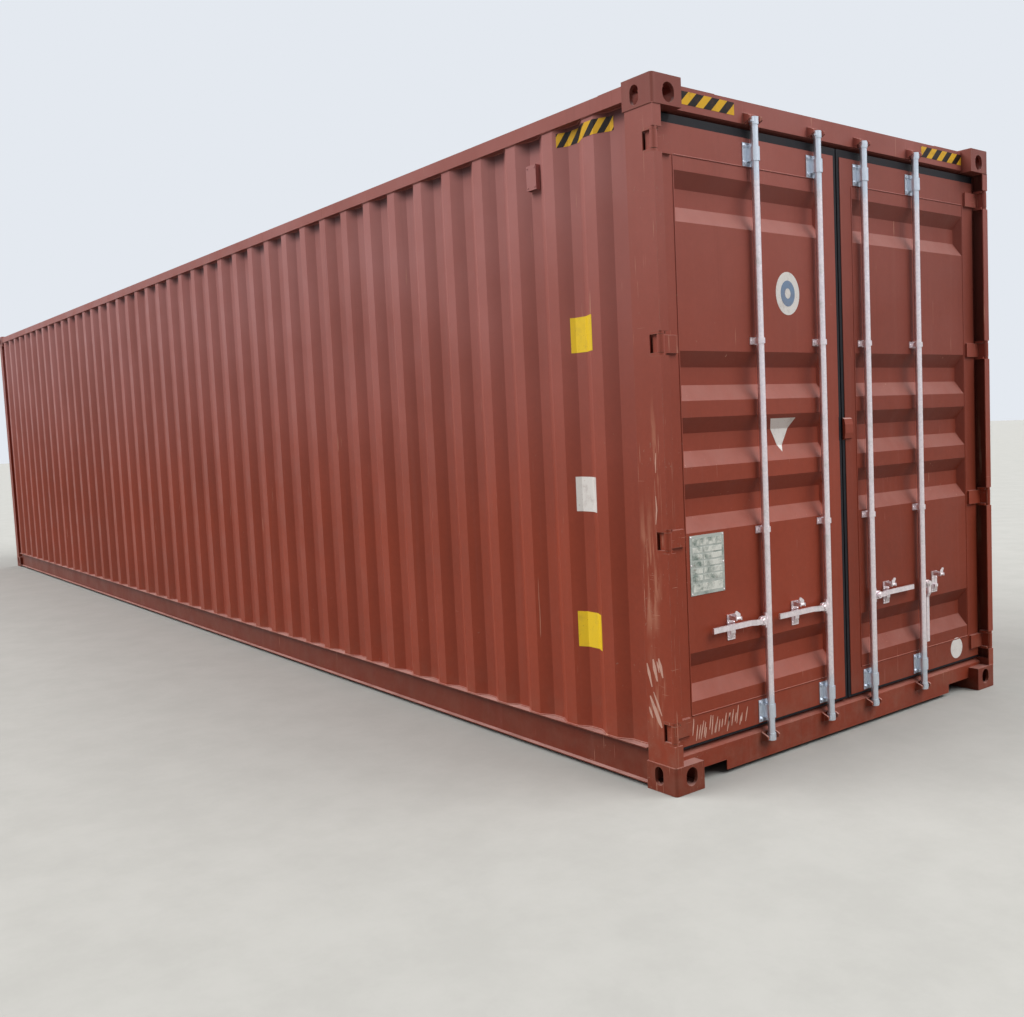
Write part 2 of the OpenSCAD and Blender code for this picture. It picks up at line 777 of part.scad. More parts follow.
// The hollow of one pressed row, sloped on all four sides, grown by the sheet
module pressed_row(z, grow) {
    y0 = field_in_y + 6;
    y1 = field_out_y - 6;
    d = row_depth + grow;
    intersection() {
        along_y(y0, y1) polygon([
            [leaf_x - grow, z - row_h / 2 - grow], [leaf_x + 1 - grow, z - row_h / 2 - grow],
            [leaf_x + 1 - grow, z + row_h / 2 + grow], [leaf_x - grow, z + row_h / 2 + grow],
            [leaf_x - d, z + row_h / 2 - row_slope + grow], [leaf_x - d, z - row_h / 2 + row_slope - grow]
        ]);
        translate([0, 0, z - row_h]) linear_extrude(2 * row_h) polygon([
            [leaf_x - grow, y0], [leaf_x + 1 - grow, y0],
            [leaf_x + 1 - grow, y1], [leaf_x - grow, y1],
            [leaf_x - d, y1 - row_end_slope + grow], [leaf_x - d, y0 + row_end_slope - grow]
        ]);
    }
}

module leaf_panel() {
    difference() {
        union() {
            span([leaf_x - panel_t, field_in_y, field_low_z], [leaf_x, field_out_y, field_high_z]);
            for (z = row_zs) pressed_row(z, panel_t);
        }
        for (z = row_zs) pressed_row(z, 0);
    }
}

module leaf_gasket() {
    x1 = leaf_x - gasket_back;
    difference() {
        span([x1 - gasket_w, gasket_mid_clear, floor_top + gasket_clear],
             [x1, post_face_y - gasket_clear, opening_top_z - gasket_clear]);
        span([x1 - gasket_w - 1, leaf_mid_gap, leaf_low_z], [x1 + 1, leaf_out_y, leaf_high_z]);
    }
}

// Blades that lie on the leaf and reach through the post's cut-outs to the pins
module hinge_blades() {
    for (z = hinge_zs) translate([0, 0, z - blade_h / 2]) difference() {
        linear_extrude(blade_h) {
            translate([leaf_x, leaf_out_y - blade_l]) square([blade_t, pin_y + 2 - leaf_out_y + blade_l]);
            translate([leaf_x, pin_y - 13]) square([pin_x - leaf_x, 15]);
            translate([pin_x, pin_y]) circle(r = knuckle_r, $fn = 48);
        }
        translate([pin_x, pin_y, -1]) cylinder(r = pin_r + pin_clear, h = blade_h + 2, $fn = 48);
    }
}

// A base plate on the leaf with a strap round the bar
module bar_guide(y, z, h, w, strap_h) {
    r_in = bar_r + guide_clear;
    r_out = r_in + guide_wall;
    base_t = 4;
    difference() {
        union() {
            span([leaf_x, y - w / 2, z - h / 2], [leaf_x + base_t, y + w / 2, z + h / 2]);
            translate([bar_x, y, z - strap_h / 2]) cylinder(r = r_out, h = strap_h, $fn = 48);
            span([leaf_x, y - r_out, z - strap_h / 2], [bar_x, y + r_out, z + strap_h / 2]);
        }
        translate([bar_x, y, z - h]) cylinder(r = r_in, h = 2 * h, $fn = 48);
    }
}

// Plate behind a handle, a seat that comes up under it and two ears that hold its catch
module handle_retainer(y) {
    base_t = 4;
    ear_t = 4;
    ear_y = catch_w / 2 + 0.5;
    ear_low_z = catch_pivot_z - 8;
    seat_x = grip_x - 6;
    seat_z = handle_z - handle_h / 2 - 5;
    span([leaf_x, y - 24, handle_z - retainer_drop], [leaf_x + base_t, y + 24, catch_pivot_z + 14]);
    along_y(y - 14, y + 14) polygon([
        [leaf_x, seat_z], [seat_x, seat_z], [seat_x, seat_z - 12],
        [leaf_x + base_t, handle_z - retainer_drop + 4], [leaf_x, handle_z - retainer_drop + 4]
    ]);
    for (side = [-1, 1]) translate([0, y + side * (ear_y + ear_t / 2) - ear_t / 2, 0]) difference() {
        along_y(0, ear_t) polygon([
            [leaf_x, ear_low_z], [catch_pivot_x + 7, ear_low_z], [catch_pivot_x + 7, catch_pivot_z + 7],
            [catch_pivot_x - 6, catch_pivot_z + 8], [leaf_x, catch_pivot_z + 14]
        ]);
        translate([catch_pivot_x, -1, catch_pivot_z]) rotate([-90, 0, 0])
            cylinder(r = catch_pin_r + 0.3, h = ear_t + 2, $fn = 32);
    }
}

module door_brackets(bars) {
    for (k = bars) {
        y = bar_ys[k];
        bar_guide(y, leaf_high_z - big_guide_h / 2 - 20, big_guide_h, big_guide_w, 60);
        bar_guide(y, leaf_low_z + big_guide_h / 2 + 6, big_guide_h, big_guide_w, 60);
        bar_guide(y, guide_low_z, small_guide_h, 74, 24);
        bar_guide(y, guide_high_z, small_guide_h, 74, 24);
        handle_retainer(y + handle_sides[k] * retainer_outs[k]);
    }
}

// The left leaf's tubes, with a shallow recess where the lap lug reaches over
module left_door_frame() {
    color(paint) difference() {
        mirror([0, 1, 0]) leaf_frame();
        span([leaf_x - 2, -leaf_mid_gap - 30, lap_z - lap_half_h - 3],
             [leaf_x + 1, -leaf_mid_gap + 1, lap_z + lap_half_h + 3]);
    }
}

module right_door_frame() {
    color(paint) leaf_frame();
}

module left_door_panel() {
    color(paint) mirror([0, 1, 0]) leaf_panel();
}

module right_door_panel() {
    color(paint) leaf_panel();
}

module left_door_gasket() {
    color(rubber_black) mirror([0, 1, 0]) leaf_gasket();
}

module right_door_gasket() {
    color(rubber_black) leaf_gasket();
}

module left_hinge_blades() {
    color(paint) mirror([0, 1, 0]) hinge_blades();
}

module right_hinge_blades() {
    color(paint) hinge_blades();
}

module left_door_brackets() {
    color(zinc) door_brackets([0, 1]);
}

module right_door_brackets() {
    color(zinc) door_brackets([2, 3]);
}

module data_plate() {
    y = -(leaf_out_y - data_plate_in);
    color(plate_grey) translate([leaf_x, y - data_plate_w / 2, data_plate_low_z])
        cube([data_plate_t, data_plate_w, data_plate_h]);
}

// Lug on the right leaf that covers the slit between the leaves
module door_lap_lug() {
    h = lap_half_h;
    color(paint) along_y(gasket_mid_clear, leaf_mid_gap + 40) polygon([
        [leaf_x, lap_z - h], [leaf_x + 10, lap_z - h + 6], [leaf_x + 16, lap_z - 20],
        [leaf_x + 16, lap_z + 20], [leaf_x + 10, lap_z + h - 6], [leaf_x, lap_z + h]
    ]);
}

// A cam: a collar with a claw-shaped nose on the handle's side
module cam(side) {
    cylinder(r = bar_r + 3, h = cam_h + 14, $fn = 48);
    translate([0, 0, 4]) linear_extrude(cam_h) mirror([0, side < 0 ? 1 : 0]) polygon([
        [-bar_r - 1, 0], [-bar_r + 3, cam_r - 9], [-8, cam_r - 2], [4, cam_r - 1],
        [12, cam_r - 6], [bar_r, 4], [bar_r - 2, -8], [-bar_r + 2, -8]
    ]);
}

// One bar with its two cams and the hub plate of its handle
module locking_bar(k) {
    y = bar_ys[k];
    side = handle_sides[k];
    color(zinc) translate([bar_x, y, 0]) {
        difference() {
            translate([0, 0, bar_low_z]) cylinder(r = bar_r, h = bar_high_z - bar_low_z, $fn = 48);
            for (z = [[bar_low_z + bar_plug, handle_z - hub_plug],
                      [handle_z + hub_plug, bar_high_z - bar_plug]])
                translate([0, 0, z[0]]) cylinder(r = bar_r - bar_wall, h = z[1] - z[0], $fn = 48);
        }
        translate([0, 0, bar_low_z]) cam(side);
        translate([0, 0, bar_high_z]) mirror([0, 0, 1]) cam(side);
        difference() {
            translate([-hub_t / 2, 0, handle_z]) rotate([90, 0, 90]) linear_extrude(hub_t) {
                translate([side * pivot_out, 0]) circle(r = 20, $fn = 48);
                translate([side > 0 ? 0 : -pivot_out, -20]) square([pivot_out, 40]);
                translate([side > 0 ? 0 : -bar_r - 7, -hub_h / 2]) square([bar_r + 7, hub_h]);
            }
            translate([-hub_t, side * pivot_out, handle_z]) rotate([0, 90, 0])
                cylinder(r = pivot_r + 0.3, h = 2 * hub_t, $fn = 32);
        }
    }
}

// A flat handle on its pivot bolt, pointing along +Y, with the pivot at the origin
module handle_blank() {
    step_y = 46;
    step_l = 26;
    grip = handle_x - handle_step;
    translate([0, 0, -handle_h / 2]) linear_extrude(handle_h) polygon([
        [handle_x, 0], [handle_x + handle_t, 0], [handle_x + handle_t, step_y],
        [grip + handle_t, step_y + step_l], [grip + handle_t, handle_l],
        [grip, handle_l], [grip, step_y + step_l], [handle_x, step_y]
    ]);
    translate([handle_x, 0, 0]) rotate([0, 90, 0]) cylinder(r = 17, h = handle_t, $fn = 48);
    translate([bar_x - hub_t / 2 - 5, 0, 0]) rotate([0, 90, 0])
        cylinder(r = pivot_r, h = handle_x + handle_t + 4 - (bar_x - hub_t / 2 - 5), $fn = 32);
    translate([handle_x + handle_t, 0, 0]) rotate([0, 90, 0]) cylinder(r = 11, h = 4, $fn = 6);
    translate([bar_x - hub_t / 2 - 6, 0, 0]) rotate([0, 90, 0]) cylinder(r = 10, h = 5, $fn = 6);
}

// The last handle hangs down; the others lie level
module handle(k, hanging) {
    side = handle_sides[k];
    color(zinc) translate([0, bar_ys[k] + side * pivot_out, handle_z])
        mirror([0, side < 0 ? 1 : 0, 0]) rotate([hanging ? -90 : 0, 0, 0]) handle_blank();
}

// A hooked flap that turns on its pin in the retainer's ears, standing up
module handle_catch(k) {
    y = bar_ys[k] + handle_sides[k] * retainer_outs[k];
    pin_half = catch_w / 2 + 6;
    color(zinc) {
        translate([catch_pivot_x, y - pin_half, catch_pivot_z]) rotate([-90, 0, 0])
            cylinder(r = catch_pin_r, h = 2 * pin_half, $fn = 32);
        translate([catch_pivot_x, y - catch_w / 2, catch_pivot_z]) rotate([-90, 0, 0])
            cylinder(r = catch_pin_r + 2.5, h = catch_w, $fn = 32);
        translate([catch_pivot_x - catch_t / 2, y, catch_pivot_z]) rotate([90, 0, 90])
            linear_extrude(catch_t) mirror([handle_sides[k] < 0 ? 1 : 0, 0]) polygon([
                [-catch_w / 2, 0], [catch_w / 2, 0], [catch_w / 2, catch_l / 2],
                [catch_w / 2 + catch_lean, catch_l - 8], [catch_w / 2 + catch_lean - 5, catch_l],
                [catch_lean, catch_l], [-catch_w / 2, catch_l - 14]
            ]);
    }
}

bottom_castings();
top_castings();
rear_posts();
front_posts();
hinge_lugs();
top_side_rails();
bottom_side_rails();
door_header();
door_sill();
front_header();
front_sill();
left_side_wall();
right_side_wall();
front_wall();
roof();
roof_corner_plates();
floor_boards();  // floor
threshold();
cross_members();
gooseneck_tunnel();
tunnel_webs();
vents();
cam_keepers();
left_door_frame();
left_door_panel();
left_door_gasket();
left_hinge_blades();
left_door_brackets();
data_plate();
right_door_frame();
right_door_panel();
right_door_gasket();
right_hinge_blades();
right_door_brackets();
door_lap_lug();
locking_bar(0);  // locking_bar_1
locking_bar(1);  // locking_bar_2
locking_bar(2);  // locking_bar_3
locking_bar(3);  // locking_bar_4
handle(0, false);  // handle_1
handle(1, false);  // handle_2
handle(2, false);  // handle_3
handle(3, true);  // handle_4
handle_catch(0);  // handle_catch_1
handle_catch(1);  // handle_catch_2
handle_catch(2);  // handle_catch_3
handle_catch(3);  // handle_catch_4
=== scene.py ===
import math
import random

import bmesh
import bpy
from mathutils import Matrix, Vector


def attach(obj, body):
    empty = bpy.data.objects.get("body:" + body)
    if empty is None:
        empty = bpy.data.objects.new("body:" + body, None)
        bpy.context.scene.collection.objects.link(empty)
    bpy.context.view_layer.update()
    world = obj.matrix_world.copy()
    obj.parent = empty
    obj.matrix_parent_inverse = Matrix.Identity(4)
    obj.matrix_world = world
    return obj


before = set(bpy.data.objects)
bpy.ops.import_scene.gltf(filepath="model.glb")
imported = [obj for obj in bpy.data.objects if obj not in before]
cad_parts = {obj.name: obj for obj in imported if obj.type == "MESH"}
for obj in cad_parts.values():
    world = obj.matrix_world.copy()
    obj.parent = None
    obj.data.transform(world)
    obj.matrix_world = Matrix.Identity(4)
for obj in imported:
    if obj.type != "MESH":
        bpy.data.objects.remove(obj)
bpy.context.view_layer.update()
print("frame loaded,", len(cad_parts), "nodes")

mm = 0.001


def at(x, y, z):
    return Vector((x * mm, y * mm, z * mm))


def tone(red, green, blue):  # a screen colour from 0 to 255, as linear light
    def linear(value):
        value /= 255
        return value / 12.92 if value <= 0.04045 else ((value + 0.055) / 1.055) ** 2.4
    return linear(red), linear(green), linear(blue), 1.0


def newObject(name, data):
    thing = bpy.data.objects.new(name, data)
    bpy.context.scene.collection.objects.link(thing)
    return thing


# Camera as in the photograph, at the door end's left
cameraSetup = {
    "place": (9.2065, -4.1307, 1.5500),
    "right": (0.6437, 0.7642, -0.0405),
    "up": (-0.0325, 0.0801, 0.9963),
    "back": (0.7646, -0.6400, 0.0765),
    "lens": 37.50,
    "shift": (-0.0930, -0.0063),
}


def makeCamera():
    setup, data = cameraSetup, bpy.data.cameras.new("viewCamera")
    data.sensor_width = 36
    data.lens = setup["lens"]
    data.shift_x, data.shift_y = setup["shift"]
    data.clip_start, data.clip_end = 0.05, 400
    camera = newObject("viewCamera", data)
    turned = Matrix((setup["right"], setup["up"], setup["back"])).transposed()
    camera.matrix_world = Matrix.Translation(setup["place"]) @ turned.to_4x4()
    bpy.context.scene.camera = camera


makeCamera()


# Node helpers

def feed(tree, node, sockets):
    for key, value in sockets.items():
        if isinstance(value, bpy.types.NodeSocket):
            tree.links.new(value, node.inputs[key])
        else:
            node.inputs[key].default_value = value


def put(tree, kind, sockets=None, **settings):
    node = tree.nodes.new(kind)
    for key, value in settings.items():
        setattr(node, key, value)
    feed(tree, node, sockets or {})
    return node


def calc(tree, operation, first, second=0.0, clamp=False):
    return put(tree, "ShaderNodeMath", {0: first, 1: second}, operation=operation, use_clamp=clamp).outputs[0]


def fold(tree, operation, values, clamp=False):
    result = values[0]
    for k in range(1, len(values)):
        result = calc(tree, operation, result, values[k], clamp and k == len(values) - 1)
    return result


def times(tree, *values, clamp=False):
    return fold(tree, "MULTIPLY", values, clamp)


def plus(tree, *values, clamp=False):
    return fold(tree, "ADD", values, clamp)


def most(tree, *values):
    return fold(tree, "MAXIMUM", values)


def fit(tree, value, fromLow, fromHigh, toLow=0.0, toHigh=1.0):
    sockets = {"Value": value, "From Min": fromLow, "From Max": fromHigh, "To Min": toLow, "To Max": toHigh}
    return put(tree, "ShaderNodeMapRange", sockets, interpolation_type="SMOOTHSTEP").outputs["Result"]


def blendTone(tree, factor, first, second, kind="MIX"):
    sockets = {0: factor, 6: first, 7: second}
    return put(tree, "ShaderNodeMix", sockets, data_type="RGBA", blend_type=kind).outputs[2]


def dim(tree, colour, level):
    grey = put(tree, "ShaderNodeCombineXYZ", {0: level, 1: level, 2: level}).outputs[0]
    return blendTone(tree, 1.0, colour, grey, "MULTIPLY")


def stretch(tree, vector, scale, place=(0, 0, 0), turn=(0, 0, 0)):
    sockets = {"Vector": vector, "Scale": scale, "Location": place, "Rotation": turn}
    return put(tree, "ShaderNodeMapping", sockets).outputs["Vector"]


def noise(tree, vector, scale, detail=3.0, roughness=0.55):  # scale is one number, or one for each axis
    if isinstance(scale, tuple):
        vector, scale = stretch(tree, vector, scale), 1.0
    sockets = {"Vector": vector, "Scale": scale, "Detail": detail, "Roughness": roughness}
    return put(tree, "ShaderNodeTexNoise", sockets).outputs["Fac"]


def split(tree, vector):
    return put(tree, "ShaderNodeSeparateXYZ", {"Vector": vector}).outputs


def meet(tree, first, second):  # 1 where two directions agree, 0 where they are square
    return put(tree, "ShaderNodeVectorMath", {0: first, 1: second}, operation="DOT_PRODUCT").outputs["Value"]


def newGroup(name, takes, gives, kind="ShaderNodeTree"):
    tree = bpy.data.node_groups.new(name, kind)
    for direction, sockets in (("INPUT", takes), ("OUTPUT", gives)):
        for label, socketType, value in sockets:
            socket = tree.interface.new_socket(name=label, in_out=direction,
                                               socket_type="NodeSocket" + socketType)
            if value is not None:
                socket.default_value = value
    return tree, put(tree, "NodeGroupInput").outputs, put(tree, "NodeGroupOutput").inputs


def useGroup(tree, group, sockets):
    return put(tree, "ShaderNodeGroup", sockets, node_tree=group).outputs


# Effects that several finishes share: weathering, with painted shade and light by the way each face looks
weatherAndLightLook = {
    # bleached: sun bleaching and a painted sheen of the sky, growing towards the top
    "bleachAndSheen": tone(180, 122, 118), "paleFrom": 0.9, "paleTo": 2.9,
    "runs": tone(88, 46, 38), "washed": tone(168, 112, 100),
    "mud": tone(150, 124, 106), "mudTo": 0.42,
    # below: painted shade on faces that look down
    "below": tone(58, 16, 8), "undersideShadeMost": 0.30,
    # dust: real dust on faces that look up, also a painted highlight that lightens them
    "dustAndTopLight": tone(194, 150, 141),
    "cloudSize": 1.3, "grainSize": 38, "runSize": (17, 17, 0.55), "dropSize": (75, 75, 1.6), "mudSize": 9,
    "dustSize": 6,
}


def makeWeatherAndLight():
    look = weatherAndLightLook
    tree, take, give = newGroup("weatherAndLight", [
        ("Vector", "Vector", None), ("Colour", "Color", None), ("Fade", "Float", 0.5),
        ("Streaks", "Float", 0.4), ("DustAndTopLight", "Float", 0.5), ("Mud", "Float", 0.5)],
        [("Colour", "Color", None), ("Grime", "Float", None)])
    vector = take["Vector"]
    height = split(tree, vector)[2]
    cloud = noise(tree, vector, look["cloudSize"], 5)
    tint = fit(tree, cloud, 0.25, 0.75, 0.90, 1.09)
    fine = fit(tree, noise(tree, vector, look["grainSize"], 5, 0.7), 0.2, 0.8, 0.93, 1.06)
    colour = dim(tree, take["Colour"], times(tree, tint, fine))

    # paler towards the top: sun bleaching, and a painted sky sheen on the upper parts
    fadeAndSheen = times(tree, fit(tree, height, look["paleFrom"], look["paleTo"]), take["Fade"],
                 fit(tree, cloud, 0.2, 0.8, 0.65, 1.25), clamp=True)
    colour = blendTone(tree, fadeAndSheen, colour, look["bleachAndSheen"])

    run = noise(tree, vector, look["runSize"], 4, 0.6)
    thin = noise(tree, stretch(tree, vector, look["dropSize"], (3, 1, 0)), 1.0, 2, 0.5)
    streak = times(tree, fit(tree, run, 0.52, 0.74), fit(tree, thin, 0.40, 0.70), take["Streaks"])
    colour = blendTone(tree, streak, colour, look["runs"])
    wash = times(tree, fit(tree, run, 0.46, 0.26), times(tree, take["Streaks"], 0.5))
    colour = blendTone(tree, wash, colour, look["washed"])

    mud = times(tree, fit(tree, height, look["mudTo"], 0.0),
                fit(tree, noise(tree, vector, look["mudSize"], 6, 0.7), 0.38, 0.66), take["Mud"])
    colour = blendTone(tree, mud, colour, look["mud"])

    # painted shade: faces that look down darken towards the below colour
    upward = split(tree, put(tree, "ShaderNodeNewGeometry").outputs["Normal"])[2]
    colour = blendTone(tree, fit(tree, upward, -0.25, -0.75, 0, look["undersideShadeMost"]), colour, look["below"])
    # dust and painted top light: faces that look up turn pale pink
    dustAndTopLight = times(tree, fit(tree, upward, 0.35, 0.95),
                 fit(tree, noise(tree, vector, look["dustSize"], 5), 0.2, 0.7, 0.5, 1), take["DustAndTopLight"])
    colour = blendTone(tree, dustAndTopLight, colour, look["dustAndTopLight"])
    tree.links.new(colour, give["Colour"])
    tree.links.new(most(tree, mud, dustAndTopLight, streak), give["Grime"])
    return tree


knockLook = {
    "scratch": tone(196, 142, 120), "chip": tone(168, 118, 98), "rust": tone(96, 52, 34),
    "patchSize": 2.6, "speckSize": 55, "most": 0.17,
    "lines": [  # stretch, tilt, offset and the least noise that shows
        ((160, 160, 3.5), 0.06, 0, 0.765), ((7, 7, 190), -0.30, 5, 0.81), ((60, 60, 2.0), -0.12, 9, 0.765),
    ],
}


def makeKnocks():
    look = knockLook
    tree, take, give = newGroup("knocks", [
        ("Vector", "Vector", None), ("Colour", "Color", None), ("Amount", "Float", 0.5),
        ("Where", "Float", 1.0), ("Rust", "Float", 0.5)],
        [("Colour", "Color", None), ("Bare", "Float", None), ("Height", "Float", None)])
    vector = take["Vector"]
    patch = noise(tree, vector, look["patchSize"], 3)
    push = times(tree, take["Amount"], take["Where"], look["most"])
    scored = []
    for scale, tilt, place, least in look["lines"]:
        drawn = stretch(tree, vector, scale, (place, place, place), (tilt, tilt, 0))
        lines = plus(tree, noise(tree, drawn, 1.0, 2, 0.5), push)
        scored.append(fit(tree, lines, least, least + 0.035))
    scratch = times(tree, most(tree, *scored), fit(tree, patch, 0.42, 0.58))
    specks = plus(tree, noise(tree, vector, look["speckSize"], 6, 0.62), times(tree, push, 0.8))
    specks = plus(tree, specks, fit(tree, patch, 0.35, 0.7, -0.05, 0.05))
    chip, core = fit(tree, specks, 0.735, 0.755), fit(tree, specks, 0.75, 0.78)
    colour = blendTone(tree, scratch, take["Colour"], look["scratch"])
    colour = blendTone(tree, chip, colour, look["chip"])
    colour = blendTone(tree, times(tree, core, take["Rust"]), colour, look["rust"])
    bare = most(tree, scratch, chip)
    tree.links.new(colour, give["Colour"])
    tree.links.new(bare, give["Bare"])
    tree.links.new(times(tree, bare, -1.0), give["Height"])
    return tree


def makeEdges():
    tree, take, give = newGroup("edges", [("Vector", "Vector", None), ("Radius", "Float", 0.004)],
                                [("Mask", "Float", None)])
    rounded = put(tree, "ShaderNodeBevel", {"Radius": take["Radius"]}, samples=4).outputs[0]
    straight = put(tree, "ShaderNodeNewGeometry").outputs["Normal"]
    edge = fit(tree, meet(tree, rounded, straight), 0.97, 0.80)
    broken = fit(tree, noise(tree, take["Vector"], 26, 5, 0.7), 0.44, 0.60)
    tree.links.new(times(tree, edge, broken), give["Mask"])
    return tree


weatherAndLight = makeWeatherAndLight()
knocks = makeKnocks()
edges = makeEdges()


def newFinish(name):
    material = bpy.data.materials.new(name)
    material.use_nodes = True
    tree = material.node_tree
    tree.nodes.clear()
    shader = put(tree, "ShaderNodeBsdfPrincipled")
    put(tree, "ShaderNodeOutputMaterial", {"Surface": shader.outputs[0]})
    return material, tree, shader, put(tree, "ShaderNodeTexCoord").outputs["Object"]


def join(tree, shader, **sockets):
    feed(tree, shader, {key.replace("_", " "): value for key, value in sockets.items()})


def bump(tree, height, distance, under=None):
    sockets = {"Height": height, "Distance": distance}
    if under:
        sockets["Normal"] = under
    return put(tree, "ShaderNodeBump", sockets).outputs["Normal"]


# Paint finishes: the same red-brown, worn more or less, with painted shade and light
paintLook = {
    "colour": tone(150, 64, 42), "roughness": 0.47, "shine": 0.26,
    "inside": tone(186, 184, 172), "insideStain": tone(158, 154, 142),
    "rubbed": tone(184, 118, 94), "rim": tone(150, 104, 88), "rimWidth": 0.006,
    # channel: painted shade inside the rear posts' channel
    # eave: painted shadow of the top rail in the walls' troughs
    "channel": tone(44, 18, 16), "railShadow": tone(62, 18, 24), "railShadowFrom": 2.745, "railShadowTo": 2.80,
    "smearSize": (34, 34, 3.4), "smearMost": 0.90, "channelShadeMost": 0.5, "foldShadeTones": (0.93, 1.08),
    "railShadowMost": 0.7, "stainSize": 3,
    "dentSize": 1.9, "dentDepth": 0.010, "grainSize": 520, "grainDepth": 0.00025, "chipDepth": 0.0003,
}


def rubBands(tree, vector, rubs):  # where things have rubbed the paint off, as more knocks and as a smear
    where, smear, place = 1.0, None, split(tree, vector)
    for axis, middle, half, lowZ, highZ, force in rubs:
        wander = noise(tree, vector, (0, 0, 3.1), 3)
        wander = fit(tree, wander, 0.3, 0.7, -0.6 * half, 0.6 * half)
        away = calc(tree, "ABSOLUTE", calc(tree, "SUBTRACT", plus(tree, place[axis], wander), middle))
        band = times(tree, fit(tree, away, half, half * 0.25), fit(tree, place[2], lowZ - 0.05, lowZ + 0.1),
                     fit(tree, place[2], highZ + 0.25, highZ - 0.1))
        where = plus(tree, times(tree, band, force), where)
        smear = most(tree, smear, band) if smear else band
    return where, smear


def paintFinish(name, fadeAndSheen=0.4, streaks=0.35, dustAndTopLight=0.6, mud=0.5, worn=0.35, rust=0.5, edge=0.0, dents=1.0,
                inward=None, rubs=(), shadedHollow=None, foldShading=None, shade=1.0):
    look = paintLook
    material, tree, shader, vector = newFinish(name)
    place = split(tree, vector)
    across = calc(tree, "ABSOLUTE", place[1])
    base = tuple(channel * shade for channel in look["colour"][:3]) + (1.0,)
    agedAndLit = useGroup(tree, weatherAndLight, {"Vector": vector, "Colour": base, "Fade": fadeAndSheen, "Streaks": streaks,
                                    "DustAndTopLight": dustAndTopLight, "Mud": mud})
    where, smear = rubBands(tree, vector, rubs)
    hit = useGroup(tree, knocks, {"Vector": vector, "Colour": agedAndLit["Colour"], "Amount": worn, "Where": where,
                                  "Rust": rust})
    colour, bare = hit["Colour"], hit["Bare"]
    if smear:
        soft = fit(tree, noise(tree, vector, look["smearSize"], 5, 0.6), 0.41, 0.59, 0, look["smearMost"])
        colour = blendTone(tree, times(tree, soft, smear), colour, look["rubbed"])
    if edge:
        rim = useGroup(tree, edges, {"Vector": vector, "Radius": look["rimWidth"]})["Mask"]
        rim = times(tree, rim, edge, clamp=True)
        colour = blendTone(tree, rim, colour, look["rim"])
        bare = most(tree, bare, rim)
    if shadedHollow:  # painted shade inside a channel
        within = look["channelShadeMost"]
        for value, low, high in ((place[0], *shadedHollow[:2]), (across, *shadedHollow[2:])):
            past, short = calc(tree, "GREATER_THAN", value, low), calc(tree, "LESS_THAN", value, high)
            within = times(tree, past, short, within)
        colour = blendTone(tree, within, colour, look["channel"])
    if foldShading:  # painted shade in the troughs and painted light on the crests, darkest under the top rail
        deepest, outermost = foldShading
        colour = dim(tree, colour, fit(tree, across, deepest, outermost, *look["foldShadeTones"]))
        # painted shadow of the top rail, in the troughs just below it
        railShadow = times(tree, fit(tree, place[2], look["railShadowFrom"], look["railShadowTo"]),
                     fit(tree, across, outermost, deepest))
        colour = blendTone(tree, times(tree, railShadow, look["railShadowMost"]), colour, look["railShadow"])
    rough = plus(tree, fit(tree, noise(tree, vector, 5, 4), 0.3, 0.7, -0.05, 0.07), look["roughness"],
                 times(tree, agedAndLit["Grime"], 0.25), times(tree, bare, 0.15), clamp=True)
    if inward:
        stain = fit(tree, noise(tree, vector, look["stainSize"], 5), 0.35, 0.7)
        pale = blendTone(tree, stain, look["inside"], look["insideStain"])
        facing = meet(tree, put(tree, "ShaderNodeTexCoord").outputs["Normal"], inward)
        colour = blendTone(tree, fit(tree, facing, 0.02, 0.06), colour, pale)
    normal = bump(tree, noise(tree, vector, look["grainSize"], 2), look["grainDepth"])
    if dents:
        waves = noise(tree, stretch(tree, vector, (1, 1, 0.6)), look["dentSize"], 2)
        normal = bump(tree, waves, look["dentDepth"] * dents, under=normal)
    normal = bump(tree, hit["Height"], look["chipDepth"], under=normal)
    join(tree, shader, Base_Color=colour, Roughness=rough, Normal=normal, Specular_IOR_Level=look["shine"])
    return material


